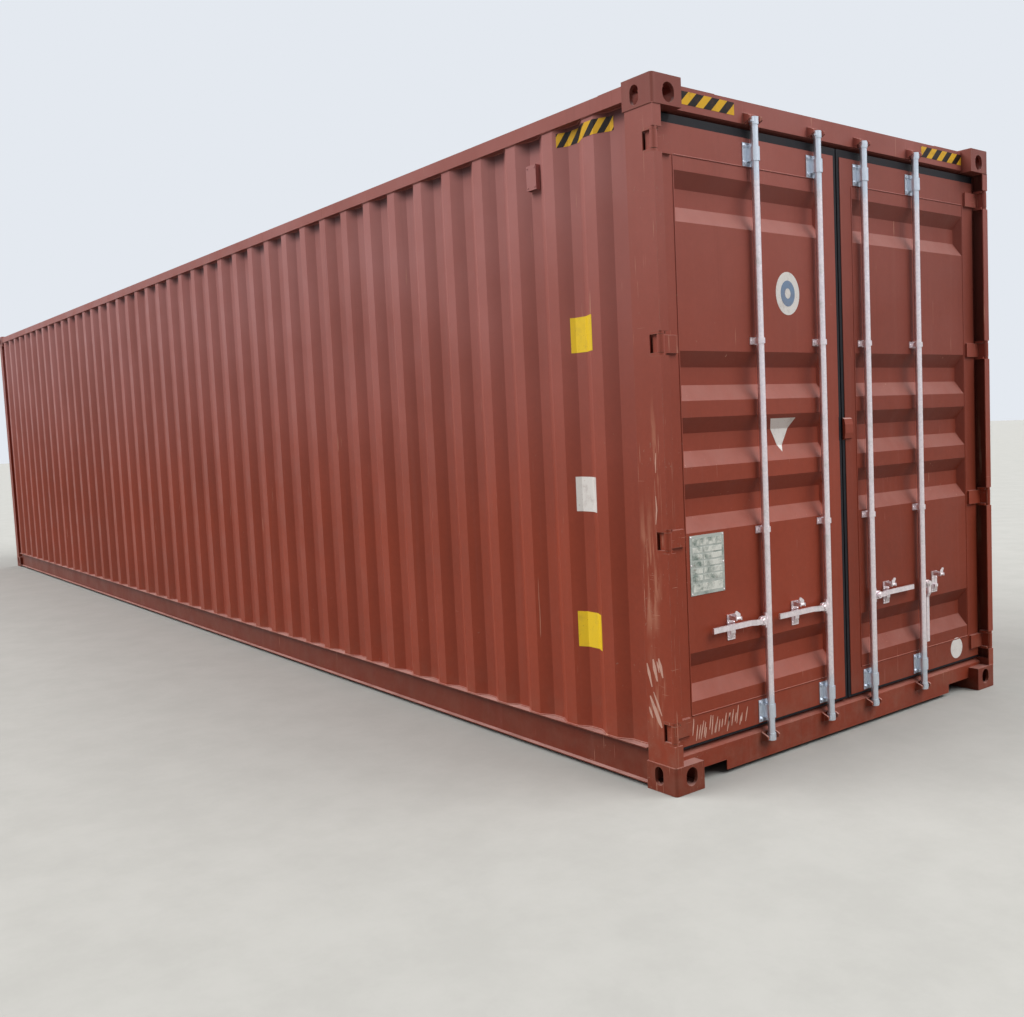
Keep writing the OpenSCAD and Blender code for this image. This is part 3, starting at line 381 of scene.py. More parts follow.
def zincFinish(name, rust=0.3):
    look = {"light": tone(246, 234, 236), "dark": tone(234, 222, 226), "cloud": tone(192, 190, 184),
            "stain": tone(140, 92, 66), "rim": tone(128, 112, 104), "sky": tone(204, 220, 232),
            # sky: a painted reflection of the sky, at the top and bottom of the gear
            "skyReflectionAbove": 2.50, "skyReflectionBelow": 0.34, "skyReflectionMost": 0.7, "cell": 110, "cloudSize": 12,
            "streakSize": (90, 90, 5), "rimWidth": 0.002, "pitDepth": 0.00008}
    material, tree, shader, vector = newFinish(name)
    cells = put(tree, "ShaderNodeTexVoronoi", {"Vector": vector, "Scale": look["cell"]}).outputs
    shine = split(tree, cells["Color"])[0]
    colour = blendTone(tree, fit(tree, shine, 0.0, 1.0), look["dark"], look["light"])
    cloud = noise(tree, vector, look["cloudSize"], 5, 0.65)
    colour = blendTone(tree, fit(tree, cloud, 0.50, 0.74, 0, 0.55), colour, look["cloud"])
    streak = noise(tree, vector, look["streakSize"], 3)
    stain = times(tree, fit(tree, streak, 0.56, 0.70), fit(tree, noise(tree, vector, 4, 4), 0.45, 0.65), rust)
    colour = blendTone(tree, stain, colour, look["stain"])
    rim = useGroup(tree, edges, {"Vector": vector, "Radius": look["rimWidth"]})["Mask"]
    colour = blendTone(tree, times(tree, rim, 0.5), colour, look["rim"])
    rough = plus(tree, fit(tree, shine, 0, 1, 0.30, 0.35), fit(tree, cloud, 0.5, 0.75, 0, 0.2))
    # painted reflection of the sky: a bluish tint near the top and the bottom
    height = split(tree, vector)[2]
    sky = most(tree, fit(tree, height, look["skyReflectionAbove"], look["skyReflectionAbove"] + 0.10),
               fit(tree, height, look["skyReflectionBelow"], look["skyReflectionBelow"] - 0.08))
    colour = blendTone(tree, times(tree, sky, look["skyReflectionMost"]), colour, look["sky"])
    normal = bump(tree, noise(tree, vector, 90, 2), look["pitDepth"])
    join(tree, shader, Base_Color=colour, Roughness=rough, Normal=normal, Metallic=0.75)
    return material


def rubberFinish():
    look = {"clean": tone(18, 17, 23), "dusty": tone(82, 70, 72), "most": 0.30,
            "dustSize": 22, "ribs": 60, "ribDepth": 0.0006}
    material, tree, shader, vector = newFinish("doorRubber")
    dusty = fit(tree, noise(tree, vector, look["dustSize"], 5, 0.7), 0.48, 0.78, 0, look["most"])
    ribs = put(tree, "ShaderNodeTexWave", {"Vector": vector, "Scale": look["ribs"]}, bands_direction="X")
    join(tree, shader, Base_Color=blendTone(tree, dusty, look["clean"], look["dusty"]),
         Roughness=fit(tree, dusty, 0, look["most"], 0.55, 0.85), Specular_IOR_Level=0.22,
         Normal=bump(tree, ribs.outputs["Fac"], look["ribDepth"]))
    return material


def boardFinish():  # plywood sheets with their long grain across the floor's length
    look = {"light": tone(150, 106, 66), "dark": tone(112, 74, 46), "scuff": tone(84, 66, 54),
            "length": 2.4, "width": 1.2, "joint": 0.0035, "lines": 34, "bend": 9, "grainDepth": 0.0005,
            "sheets": (0.8, 1.15), "seam": (0.12, 0.1, 0.08, 1)}
    material, tree, shader, vector = newFinish("plywood")
    bend = noise(tree, vector, (0.7, 9, 1), 4)
    grain = calc(tree, "FRACT", plus(tree, times(tree, split(tree, vector)[1], look["lines"]),
                                      times(tree, bend, look["bend"])))
    colour = blendTone(tree, fit(tree, grain, 0, 1), look["light"], look["dark"])
    first, second = [(level, level, level, 1) for level in look["sheets"]]
    boards = put(tree, "ShaderNodeTexBrick", {
        "Vector": vector, "Scale": 1.0, "Mortar Size": look["joint"], "Brick Width": look["length"],
        "Row Height": look["width"], "Color1": first, "Color2": second, "Mortar": look["seam"]})
    colour = blendTone(tree, 1.0, colour, boards.outputs["Color"], "MULTIPLY")
    scuff = fit(tree, noise(tree, vector, (1.2, 30, 1), 5, 0.7), 0.55, 0.7, 0, 0.6)
    colour = blendTone(tree, scuff, colour, look["scuff"])
    join(tree, shader, Base_Color=colour, Roughness=fit(tree, scuff, 0, 0.6, 0.5, 0.75),
         Normal=bump(tree, grain, look["grainDepth"]))
    return material


def plateFinish():
    look = {"light": tone(196, 200, 192), "dark": tone(176, 180, 174), "cloud": tone(124, 136, 128),
            "spots": tone(118, 104, 92), "brushSize": (40, 40, 700), "brushDepth": 0.0002,
            "cloudSize": 14, "spotSize": 31}
    material, tree, shader, vector = newFinish("plateMetal")
    brushed = noise(tree, vector, look["brushSize"], 3)
    colour = blendTone(tree, fit(tree, brushed, 0.3, 0.7), look["light"], look["dark"])
    cloud = noise(tree, vector, look["cloudSize"], 5, 0.65)
    colour = blendTone(tree, fit(tree, cloud, 0.46, 0.66, 0, 0.8), colour, look["cloud"])
    spots = noise(tree, vector, look["spotSize"], 5, 0.7)
    colour = blendTone(tree, fit(tree, spots, 0.6, 0.75, 0, 0.6), colour, look["spots"])
    join(tree, shader, Base_Color=colour, Roughness=fit(tree, brushed, 0, 1, 0.34, 0.52), Metallic=0.55,
         Normal=bump(tree, brushed, look["brushDepth"]))
    return material


def labelFinish(name, colour, dirt=0.5, soil=tone(128, 96, 78), least=0.48):
    material, tree, shader, vector = newFinish(name)
    grime = fit(tree, noise(tree, vector, 16, 6, 0.7), least, least + 0.3, 0, dirt)
    flaked = fit(tree, noise(tree, vector, 120, 4, 0.6), 0.66, 0.70, 0, 0.8)
    shaded = blendTone(tree, flaked, blendTone(tree, grime, colour, soil), paintLook["colour"])
    join(tree, shader, Base_Color=shaded, Roughness=fit(tree, grime, 0, 0.5, 0.42, 0.7),
         Normal=bump(tree, noise(tree, vector, 300, 2), 0.0002))
    return material


def stripeFinish():  # yellow and black bands that lean like a slash
    look = {"yellow": tone(238, 184, 48), "black": tone(20, 14, 12), "soil": tone(104, 68, 52),
            "pitch": 0.092, "soilSize": 20}
    material, tree, shader, vector = newFinish("stripePaint")
    place = split(tree, vector)
    along = plus(tree, place[0], place[1], times(tree, place[2], -1.0))
    part = calc(tree, "FRACT", calc(tree, "DIVIDE", along, look["pitch"]))
    colour = blendTone(tree, fit(tree, part, 0.485, 0.515), look["yellow"], look["black"])
    grime = fit(tree, noise(tree, vector, look["soilSize"], 6, 0.7), 0.47, 0.75, 0, 0.45)
    join(tree, shader, Base_Color=blendTone(tree, grime, colour, look["soil"]),
         Roughness=fit(tree, grime, 0, 0.5, 0.42, 0.7), Specular_IOR_Level=0.20)
    return material


wallFolds = (1.177, 1.211)  # how far out the walls' troughs and crests lie
postShadedHollow = (6.0135, 6.0875, 1.170, 1.2105)  # x and |y| of the rear posts' channel, darkened with painted shade
postRubs = [  # axis across the band, its middle and half width, lowest and highest z, force
    (0, 6.035, 0.022, 1.08, 1.46, 0.6), (0, 5.990, 0.060, 0.66, 1.05, 0.8),
    (0, 5.985, 0.050, 0.25, 0.45, 0.6),
]
# the walls' wear, with painted shade in their troughs and painted light on their crests
wallWearAndShade = {"fadeAndSheen": 0.75, "streaks": 0.14, "mud": 0.2, "worn": 0.08, "dents": 0.5, "foldShading": wallFolds}
finishes = {
    "wallLeft": paintFinish("wallPaintLeft", inward=(0, 1, 0), **wallWearAndShade),
    "wallRight": paintFinish("wallPaintRight", inward=(0, -1, 0), **wallWearAndShade),
    "wallFront": paintFinish("wallPaintFront", fadeAndSheen=0.6, streaks=0.3, worn=0.30, inward=(1, 0, 0)),
    # the roof's shade darkens its paint against the strong light from above: painted shade
    "roof": paintFinish("roofPaint", fadeAndSheen=0.30, streaks=0.0, dustAndTopLight=0.30, worn=0.40, inward=(0, 0, -1),
                        shade=0.75),
    # the doors' high dust also lightens the upper slopes of their rows as a painted highlight
    "door": paintFinish("doorPaint", fadeAndSheen=0.35, streaks=0.14, dustAndTopLight=1.3, mud=0.3, worn=0.10, dents=0.4,
                        inward=(-1, 0, 0)),
    # the right door's paint is a darker copy of the doors' paint: painted shade
    "doorRightShaded": paintFinish("doorPaintRightShaded", fadeAndSheen=0.25, streaks=0.18, dustAndTopLight=1.2, mud=0.2, worn=0.10,
                             dents=0.4, inward=(-1, 0, 0), shade=0.80),
    "post": paintFinish("postPaint", fadeAndSheen=0.45, streaks=0.12, mud=0.3, worn=0.40, edge=0.7, dents=0.3,
                        rubs=postRubs, shadedHollow=postShadedHollow),
    "frame": paintFinish("framePaint", fadeAndSheen=0.4, streaks=0.2, dustAndTopLight=0.2, mud=0.4, worn=0.30, edge=0.5,
                         dents=0.3, shade=0.92),
    "vent": paintFinish("ventPaint", fadeAndSheen=0.85, streaks=0.1, dustAndTopLight=0.3, worn=0.2, dents=0.0),
    "sill": paintFinish("sillPaint", fadeAndSheen=0.0, streaks=0.3, dustAndTopLight=0.2, mud=0.2, worn=0.30, edge=0.5,
                        dents=0.3, shade=0.90),
    "rail": paintFinish("railPaint", fadeAndSheen=0.5, streaks=0.2, dustAndTopLight=0.3, worn=0.30, edge=0.35, dents=0.0),
    # the shade darkens the bottom rails' web: painted shade
    "lowRailShaded": paintFinish("lowRailPaintShaded", fadeAndSheen=0.0, streaks=0.15, dustAndTopLight=0.9, mud=0.10, worn=0.20, edge=0.5,
                           dents=0.0, shade=0.57),
    "casting": paintFinish("castingPaint", fadeAndSheen=0.3, streaks=0.4, worn=0.5, rust=0.9, edge=0.9, dents=0.0,
                           mud=0.15, shade=0.70),
    "fitting": paintFinish("fittingPaint", fadeAndSheen=0.35, streaks=0.4, worn=0.55, rust=0.8, edge=0.9, dents=0.0),
    "under": paintFinish("underPaint", fadeAndSheen=0.0, streaks=0.3, worn=0.6, rust=0.9, mud=0.9, dents=0.0,
                         shade=0.55),
    "weld": paintFinish("weldPaint", fadeAndSheen=0.4, streaks=0.2, worn=0.5, dents=0.0, shade=0.92),
    "zinc": zincFinish("galvanisedSteel"),
    "rubber": rubberFinish(),
    "board": boardFinish(),
    "plate": plateFinish(),
    "field": labelFinish("plateField", tone(232, 232, 222), 1.0, tone(104, 122, 112), 0.38),
    "white": labelFinish("whiteMark", tone(240, 234, 228), 0.4),
    "pale": labelFinish("paleLabel", tone(238, 232, 226), 0.4),
    "yellow": labelFinish("yellowLabel", tone(250, 208, 30), 0.2),
    "blue": labelFinish("blueMark", tone(122, 144, 172)),
    "stripes": stripeFinish(),
    "scratch": labelFinish("scratchPaint", tone(208, 160, 142), 0.5),
}

nodeGroups = {  # the nodes that each finish covers; the others are galvanised gear
    "casting": "bottom_castings top_castings", "post": "rear_posts", "rail": "top_side_rails",
    "lowRailShaded": "bottom_side_rails", "sill": "door_sill", "plate": "data_plate", "vent": "vents",
    "frame": "front_posts door_header front_header front_sill roof_corner_plates", "roof": "roof",
    "fitting": "hinge_lugs cam_keepers left_hinge_blades right_hinge_blades", "board": "floor",
    "under": "threshold cross_members gooseneck_tunnel tunnel_webs", "wallFront": "front_wall",
    "wallLeft": "left_side_wall", "wallRight": "right_side_wall",
    "door": "left_door_frame left_door_panel door_lap_lug",
    "doorRightShaded": "right_door_frame right_door_panel", "rubber": "left_door_gasket right_door_gasket",
}
nodeFinish = {name: finish for finish, names in nodeGroups.items() for name in names.split()}
for name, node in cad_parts.items():
    node.data.materials.clear()
    node.data.materials.append(finishes[nodeFinish.get(name, "zinc")])
print("finishes made")


# Mesh helpers
patchLift = 0.05  # how far a patch stands off what carries it, in mm


def settle(name, mesh, body, finish):
    piece = newObject(name, mesh)
    mesh.materials.clear()
    mesh.materials.append(finishes[finish])
    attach(piece, body)


def patchMesh(name, outlines, breaks, place, thickness):  # thin closed patches bent over what carries them
    flat = bmesh.new()
    for outline in outlines:
        flat.faces.new([flat.verts.new((u, v, 0)) for u, v in outline])
    for axis, value in breaks:
        normal = (1, 0, 0) if axis == 0 else (0, 1, 0)
        spot = (value, 0, 0) if axis == 0 else (0, value, 0)
        bmesh.ops.bisect_plane(flat, geom=flat.verts[:] + flat.edges[:] + flat.faces[:], plane_co=spot,
                               plane_no=normal, dist=0.01)
    whole = bmesh.new()
    tops, lows = {}, {}
    for vert in flat.verts:
        tops[vert] = whole.verts.new(place(vert.co.x, vert.co.y, thickness))
        lows[vert] = whole.verts.new(place(vert.co.x, vert.co.y, patchLift))
    for face in flat.faces:
        whole.faces.new([tops[v] for v in face.verts])
        whole.faces.new([lows[v] for v in reversed(face.verts)])
    for edge in flat.edges:
        if edge.is_boundary:
            first, second = edge.verts
            whole.faces.new([tops[first], lows[first], lows[second], tops[second]])
    bmesh.ops.recalc_face_normals(whole, faces=whole.faces[:])
    mesh = bpy.data.meshes.new(name)
    whole.to_mesh(mesh)
    whole.free()
    flat.free()
    return mesh


def blockMesh(name, blocks, bevel=0.4):  # small raised plates, each from its low to its high corner in mm
    whole = bmesh.new()
    for low, high in blocks:
        part = bmesh.new()
        bmesh.ops.create_cube(part, size=1)
        low, high = Vector(low), Vector(high)
        for vert in part.verts:
            vert.co = Vector([low[i] + (vert.co[i] + 0.5) * (high[i] - low[i]) for i in range(3)])
        bmesh.ops.bevel(part, geom=part.edges[:], offset=bevel, segments=1, affect="EDGES", profile=0.5)
        step = bpy.data.meshes.new("step")
        part.to_mesh(step)
        part.free()
        whole.from_mesh(step)
        bpy.data.meshes.remove(step)
    for vert in whole.verts:
        vert.co *= mm
    mesh = bpy.data.meshes.new(name)
    whole.to_mesh(mesh)
    whole.free()
    return mesh


# Shapes of the sheets that carry marks and welds, in mm
leafShape = {"face": 6034, "back": 5984, "inner": 24, "outer": 1160, "low": 173, "high": 2733,
             "rows": (2448, 1719, 1444, 1169, 457), "rowHalf": 103, "rowSlope": 66, "rowDepth": 38}
wallShape = {"crest": 1210, "depth": 34, "lastCrest": 5687, "pitch": 281, "half": 36, "slope": 68,
             "count": 42, "start": -5983, "stop": 5928, "low": 171, "high": 2820}
endFaces = {"header": 6038, "post": 1216}


def leafDepth(z):
    for middle in leafShape["rows"]:
        away = leafShape["rowHalf"] - abs(z - middle)
        if away > 0:
            return leafShape["rowDepth"] * min(away / leafShape["rowSlope"], 1)
    return 0.0


def wallOut(x):
    shape = wallShape
    nearest = round((shape["lastCrest"] - x) / shape["pitch"])
    nearest = min(max(nearest, 0), shape["count"] - 1)
    away = abs(x - (shape["lastCrest"] - nearest * shape["pitch"])) - shape["half"]
    return shape["crest"] - shape["depth"] * min(max(away / shape["slope"], 0), 1)


def wallKinks(low, high):
    shape, kinks = wallShape, []
    near, far = shape["half"], shape["half"] + shape["slope"]
    for k in range(shape["count"]):
        middle = shape["lastCrest"] - k * shape["pitch"]
        kinks += [middle + away for away in (-far, -near, near, far) if low < middle + away < high]
    return sorted(kinks)


def rowKinks(low, high):
    shape, kinks = leafShape, []
    for middle in shape["rows"]:
        for away in (shape["rowHalf"], shape["rowHalf"] - shape["rowSlope"]):
            kinks += [z for z in (middle - away, middle + away) if low < z < high]
    return kinks


sides = ((-1, "left"), (1, "right"))


def onWall(side):
    return lambda x, z, lift: at(x, side * (wallOut(x) + lift), z)


def onLeaf(y, z, lift):
    return at(leafShape["face"] - leafDepth(z) + lift, y, z)


def onHeader(y, z, lift):
    return at(endFaces["header"] + lift, y, z)


def onPost(x, z, lift):  # the outer side of the left rear post
    return at(x, -endFaces["post"] - lift, z)


def rect(u0, v0, u1, v1):
    return [(u0, v0), (u1, v0), (u1, v1), (u0, v1)]


def oval(u, v, halfU, halfV, count=40):
    return [(u + halfU * math.cos(2 * math.pi * k / count), v + halfV * math.sin(2 * math.pi * k / count))
            for k in range(count)]


def mark(name, outlines, breaks, place, body, finish, thickness=0.7):
    settle(name, patchMesh(name, outlines, breaks, place, thickness), body, finish)


# Painted and stuck-on marks
markPlan = {
    "headerStripe": (690, 2817, 1054, 2870),
    "wallStripe": (5459, 2740, 5815, 2800),
    "wallYellow": [(5487, 1850, 5661, 2003), (5466, 540, 5636, 700)],
    "wallPale": [(5482, 1151, 5640, 1305)],
    "disc": (-370, 2084, 80, 96), "ring": (0.60, 0.24), "ringLift": 0.8, "ringThickness": 0.4,
    "triangle": [(-412, 1377), (-327, 1528), (-497, 1528)],
    "spot": (947, 246, 56),
}


def makeMarks():
    plan = markPlan
    inner, v0, outer, v1 = plan["headerStripe"]
    bands = [rect(side * inner, v0, side * outer, v1) for side in (-1, 1)]
    bands[0].reverse()
    mark("headerStripes", bands, [], onHeader, "container", "stripes")
    u0, v0, u1, v1 = plan["wallStripe"]
    kinks = [(0, x) for x in wallKinks(u0, u1)]
    for side, word in sides:
        mark(word + "WallStripes", [rect(u0, v0, u1, v1)], kinks, onWall(side), "container", "stripes")

    yellow, pale = [[rect(*square) for square in plan[word]] for word in ("wallYellow", "wallPale")]
    spread = [u for square in yellow + pale for u, v in square]
    kinks = [(0, x) for x in wallKinks(min(spread), max(spread))]
    mark("yellowPatches", yellow, kinks, onWall(-1), "container", "yellow")
    mark("palePatch", pale, kinks, onWall(-1), "container", "pale")

    y, z, halfY, halfZ = plan["disc"]
    mark("paleDisc", [oval(y, z, halfY, halfZ)], [], onLeaf, "left_door", "pale")
    rim, inner = [oval(y, z, halfY * part, halfZ * part) for part in plan["ring"]]
    count = len(rim)
    ring = [[rim[k], rim[(k + 1) % count], inner[(k + 1) % count], inner[k]] for k in range(count)]
    mark("blueRing", ring, [], lambda u, v, lift: onLeaf(u, v, lift + plan["ringLift"]), "left_door", "blue",
         plan["ringThickness"])

    heights = [z for y, z in plan["triangle"]]
    kinks = [(1, z) for z in rowKinks(min(heights), max(heights))]
    mark("whiteTriangle", [plan["triangle"]], kinks, onLeaf, "left_door", "white")
    y, z, half = plan["spot"]
    mark("paleSpot", [oval(y, z, half, half)], [], onLeaf, "right_door", "pale")


makeMarks()


# Strokes scratched through the paint, low on the left door and down the left post
strokePlan = {"seed": 5, "count": 21, "low": (-1066, 184), "high": (-728, 290), "width": 7.0, "steps": 7,
              "spread": 0.8, "clear": 70, "heading": (1.30, 1.42), "bend": (-0.02, 0.02), "stride": (6, 14),
              "tip": 0.35, "thickness": 0.3}
postStrokes = [  # (x, z) along each stroke on the post's side, and its width
    ([(5940, 536), (5950, 498), (5966, 440)], 17), ([(5978, 558), (5986, 520), (6000, 468)], 22),
    ([(6012, 566), (6022, 532), (6034, 488)], 20), ([(6001, 552), (6006, 535), (6013, 506)], 11),
    ([(5952, 400), (5978, 350), (6004, 300), (6018, 276)], 21), ([(5974, 420), (5998, 372), (6020, 326)], 13),
    ([(5944, 352), (5953, 332), (5964, 308)], 14), ([(6026, 1120), (6034, 1180), (6031, 1236)], 9),
    ([(6036, 1330), (6037, 1372), (6040, 1410)], 7),
]


def ribbon(points, width):  # a band along points, in mm, thinner at both ends
    bands, last, tip = [], len(points) - 1, strokePlan["tip"]
    for k in range(last):
        (ua, va), (ub, vb) = points[k], points[k + 1]
        run = math.hypot(ub - ua, vb - va)
        du, dv = (vb - va) / run * width / 2, (ua - ub) / run * width / 2
        start, end = (tip if k == 0 else 1), (tip if k + 1 == last else 1)
        bands.append([(ua + du * start, va + dv * start), (ub + du * end, vb + dv * end),
                      (ub - du * end, vb - dv * end), (ua - du * start, va - dv * start)])
    return bands


def makeStrokes():
    plan, outlines = strokePlan, []
    (y0, z0), (y1, z1), steps, tip = plan["low"], plan["high"], plan["steps"], plan["tip"]
    pick = random.Random(plan["seed"])
    for k in range(plan["count"]):
        y = y0 + (y1 - y0) * (k + pick.random() * plan["spread"]) / plan["count"]
        z = pick.uniform(z0, z1 - plan["clear"])
        heading, bend, stride = [pick.uniform(*plan[word]) for word in ("heading", "bend", "stride")]
        edge = []
        for step in range(steps):
            half = plan["width"] / 2 * (tip + (1 - tip) * math.sin(math.pi * (step + 0.5) / steps))
            du, dv = math.sin(heading) * half, -math.cos(heading) * half
            edge.append(((y + du, z + dv), (y - du, z - dv)))
            y += math.cos(heading) * stride
            z = min(max(z + math.sin(heading) * stride, z0), z1)
            heading += bend
        outlines += [[first[0], second[0], second[1], first[1]] for first, second in zip(edge, edge[1:])]
    mark("scratchStrokes", outlines, [], onLeaf, "left_door", "scratch", plan["thickness"])
    rubbed = [band for points, width in postStrokes for band in ribbon(points, width)]
    mark("postStrokes", rubbed, [], onPost, "container", "scratch", plan["thickness"])


makeStrokes()


# Blank fields raised on the data plate
platePlan = {"middle": -937, "low": 801, "width": 204, "height": 253, "face": 6036, "sink": 0.6, "rise": 0.8,
             "margin": 14, "header": 30, "footer": 34, "rows": 5, "gap": 7, "label": 58, "above": 8,
             "below": 6, "rivetInset": 7, "rivet": (0.0042, 0.0022)}


def makePlateFields():
    plan = platePlan
    margin, half = plan["margin"], plan["width"] / 2
    left, right = plan["middle"] - half + margin, plan["middle"] + half - margin
    top, bottom = plan["low"] + plan["height"] - margin, plan["low"] + margin
    x0, x1 = plan["face"] - plan["sink"], plan["face"] + plan["rise"]
    blocks = [((x0, left, top - plan["header"]), (x1, right, top)),
              ((x0, left, bottom), (x1, right, bottom + plan["footer"]))]
    first, last = top - plan["header"] - plan["above"], bottom + plan["footer"] + plan["below"]
    pitch = (first - last) / plan["rows"]
    for row in range(plan["rows"]):
        high = first - row * pitch
        low = high - pitch + plan["gap"]
        blocks.append(((x0, left, low), (x1, left + plan["label"], high)))
        blocks.append(((x0, left + plan["label"] + plan["gap"], low), (x1, right, high)))
    settle("plateFields", blockMesh("plateFields", blocks), "left_door", "field")


makePlateFields()
print("marks made")


# Screws, rivets and bolts, placed on points that carry the way they face
boltLayers = [  # vertices, then width, thickness and lift as parts of the bolt's radius and height
    (16, 1.35, 0.36, 0.12), (6, 1.0, 0.9, 0.55), (10, 0.62, 0.3, 1.1),  # washer, hexagon, end of the thread
]


def newGrowTree(name, *sizes):
    shape = ("Geometry", "Geometry", None)
    takes = [shape, *sizes, ("Seed", "Int", 1), ("Finish", "Material", None)]
    return newGroup(name, takes, [shape], "GeometryNodeTree")


def closeTree(tree, shape, take, give):
    real = put(tree, "GeometryNodeRealizeInstances", {"Geometry": shape}).outputs[0]
    final = put(tree, "GeometryNodeSetMaterial", {"Geometry": real, "Material": take["Finish"]}).outputs[0]
    tree.links.new(final, give["Geometry"])


def chance(tree, take):
    return put(tree, "FunctionNodeRandomValue", {"Seed": take["Seed"]}, data_type="FLOAT").outputs[1]


def makeHeadTree(name, domed):
    tree, take, give = newGrowTree(name, ("Radius", "Float", 0.006), ("Height", "Float", 0.004))
    facing = put(tree, "GeometryNodeInputNamedAttribute", {"Name": "facing"}, data_type="FLOAT_VECTOR")
    turned = put(tree, "FunctionNodeAlignRotationToVector", {"Vector": facing.outputs[0]}, axis="Z")
    angle = times(tree, chance(tree, take), 3.1)
    spin = put(tree, "FunctionNodeAxisAngleToRotation", {"Axis": (0, 0, 1), "Angle": angle}).outputs[0]
    turned = put(tree, "FunctionNodeRotateRotation", {0: turned.outputs[0], 1: spin}, rotation_space="LOCAL")
    if domed:
        ball = put(tree, "GeometryNodeMeshUVSphere", {"Segments": 10, "Rings": 6, "Radius": take["Radius"]})
        flat = calc(tree, "DIVIDE", take["Height"], take["Radius"])
        size = put(tree, "ShaderNodeCombineXYZ", {0: 1.0, 1: 1.0, 2: flat}).outputs[0]
        head = put(tree, "GeometryNodeTransform", {"Geometry": ball.outputs[0], "Scale": size})
    else:
        head = put(tree, "GeometryNodeJoinGeometry")
        for vertices, wide, thick, lift in boltLayers:
            body = put(tree, "GeometryNodeMeshCylinder", {
                "Vertices": vertices, "Radius": times(tree, take["Radius"], wide),
                "Depth": times(tree, take["Height"], thick)}).outputs[0]
            move = put(tree, "ShaderNodeCombineXYZ", {2: times(tree, take["Height"], lift)}).outputs[0]
            layer = put(tree, "GeometryNodeTransform", {"Geometry": body, "Translation": move}).outputs[0]
            tree.links.new(layer, head.inputs[0])
    placed = put(tree, "GeometryNodeInstanceOnPoints", {
        "Points": take["Geometry"], "Instance": head.outputs[0], "Rotation": turned.outputs[0]})
    closeTree(tree, placed.outputs[0], take, give)
    return tree


def makeWeldTree():
    tree, take, give = newGrowTree("weldBeads", ("Radius", "Float", 0.003), ("Step", "Float", 0.012))
    path = put(tree, "GeometryNodeMeshToCurve", {"Mesh": take["Geometry"]}).outputs[0]
    path = put(tree, "GeometryNodeResampleCurve", {"Curve": path, "Length": take["Step"]}, mode="LENGTH")
    lump = plus(tree, times(tree, chance(tree, take), 0.3), 0.7)
    path = put(tree, "GeometryNodeSetCurveRadius", {"Curve": path.outputs[0], "Radius": lump}).outputs[0]
    ring = put(tree, "GeometryNodeCurvePrimitiveCircle", {"Resolution": 6, "Radius": take["Radius"]})
    bead = put(tree, "GeometryNodeCurveToMesh", {"Curve": path, "Profile Curve": ring.outputs[0],
                                                 "Fill Caps": True})
    closeTree(tree, bead.outputs[0], take, give)
    return tree


boltTree = makeHeadTree("boltHeads", False)
rivetTree = makeHeadTree("rivetHeads", True)
weldTree = makeWeldTree()


def grow(name, mesh, tree, body, slotName, finish, smooth=False, **values):
    piece = newObject(name, mesh)
    modifier = piece.modifiers.new("grow", "NODES")
    modifier.node_group = tree
    values["Finish"] = finishes[finish]
    for item in tree.interface.items_tree:
        if item.item_type == "SOCKET" and item.in_out == "INPUT" and item.name in values:
            modifier[item.identifier] = values[item.name]
    graph = bpy.context.evaluated_depsgraph_get()
    grown = bpy.data.meshes.new_from_object(piece.evaluated_get(graph))
    piece.modifiers.clear()
    piece.data = grown
    for polygon in grown.polygons:
        polygon.use_smooth = smooth
    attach(piece, body)
    print("  ", name, len(grown.polygons), "faces")


def pointMesh(name, spots):  # spots are (x, y, z) in mm and the way they face
    mesh = bpy.data.meshes.new(name)
    mesh.from_pydata([at(*place) for place, facing in spots], [], [])
    facings = mesh.attributes.new("facing", "FLOAT_VECTOR", "POINT")
    for index, (place, facing) in enumerate(spots):
        facings.data[index].vector = facing
    return mesh


def pathMesh(name, paths):  # paths are lists of (x, y, z) in mm, and whether each closes
    mesh, corners, links = bpy.data.meshes.new(name), [], []
    for points, closed in paths:
        first = len(corners)
        corners += [at(*point) for point in points]
        links += [(first + k, first + k + 1) for k in range(len(points) - 1)]
        if closed:
            links.append((len(corners) - 1, first))
    mesh.from_pydata(corners, links, [])
    return mesh


def addHeads(name, spots, body, size, seed, tree=rivetTree, finish="zinc"):
    grow(name, pointMesh("spots", spots), tree, body, "galvanised_gear", finish, tree == rivetTree,
         Radius=size[0], Height=size[1], Seed=seed)


gearPlan = {"face": 6038, "bars": (-595, -171, 171, 595), "bolt": (0.0085, 0.006), "rivet": (0.0052, 0.0035),
            "bigGuides": (2663, 229), "bigSpread": (37, 36), "smallGuides": (1043, 1868), "smallSpread": 29.5,
            "retainerOut": (212, 212, 147, 147), "retainerRows": (594, 655), "retainerSpread": 18.5}


def makeGearFasteners():
    plan = gearPlan
    (wide, high), small, near = plan["bigSpread"], plan["smallSpread"], plan["retainerSpread"]
    for word, bars in (("left", (0, 1)), ("right", (2, 3))):
        bolts, rivets = [], []
        for k in bars:
            y = plan["bars"][k]
            middle = y + (-1 if y < 0 else 1) * plan["retainerOut"][k]
            bolts += [(y + dy, z + dz) for z in plan["bigGuides"]
                      for dy in (-wide, wide) for dz in (-high, high)]
            rivets += [(y + dy, z) for z in plan["smallGuides"] for dy in (-small, small)]
            rivets += [(middle + dy, z) for z in plan["retainerRows"] for dy in (-near, near)]
        bolts, rivets = [[((plan["face"], y, z), (1, 0, 0)) for y, z in spots] for spots in (bolts, rivets)]
        addHeads(word + "GuideBolts", bolts, word + "_door", plan["bolt"], 4, boltTree)
        addHeads(word + "GearRivets", rivets, word + "_door", plan["rivet"], 5)


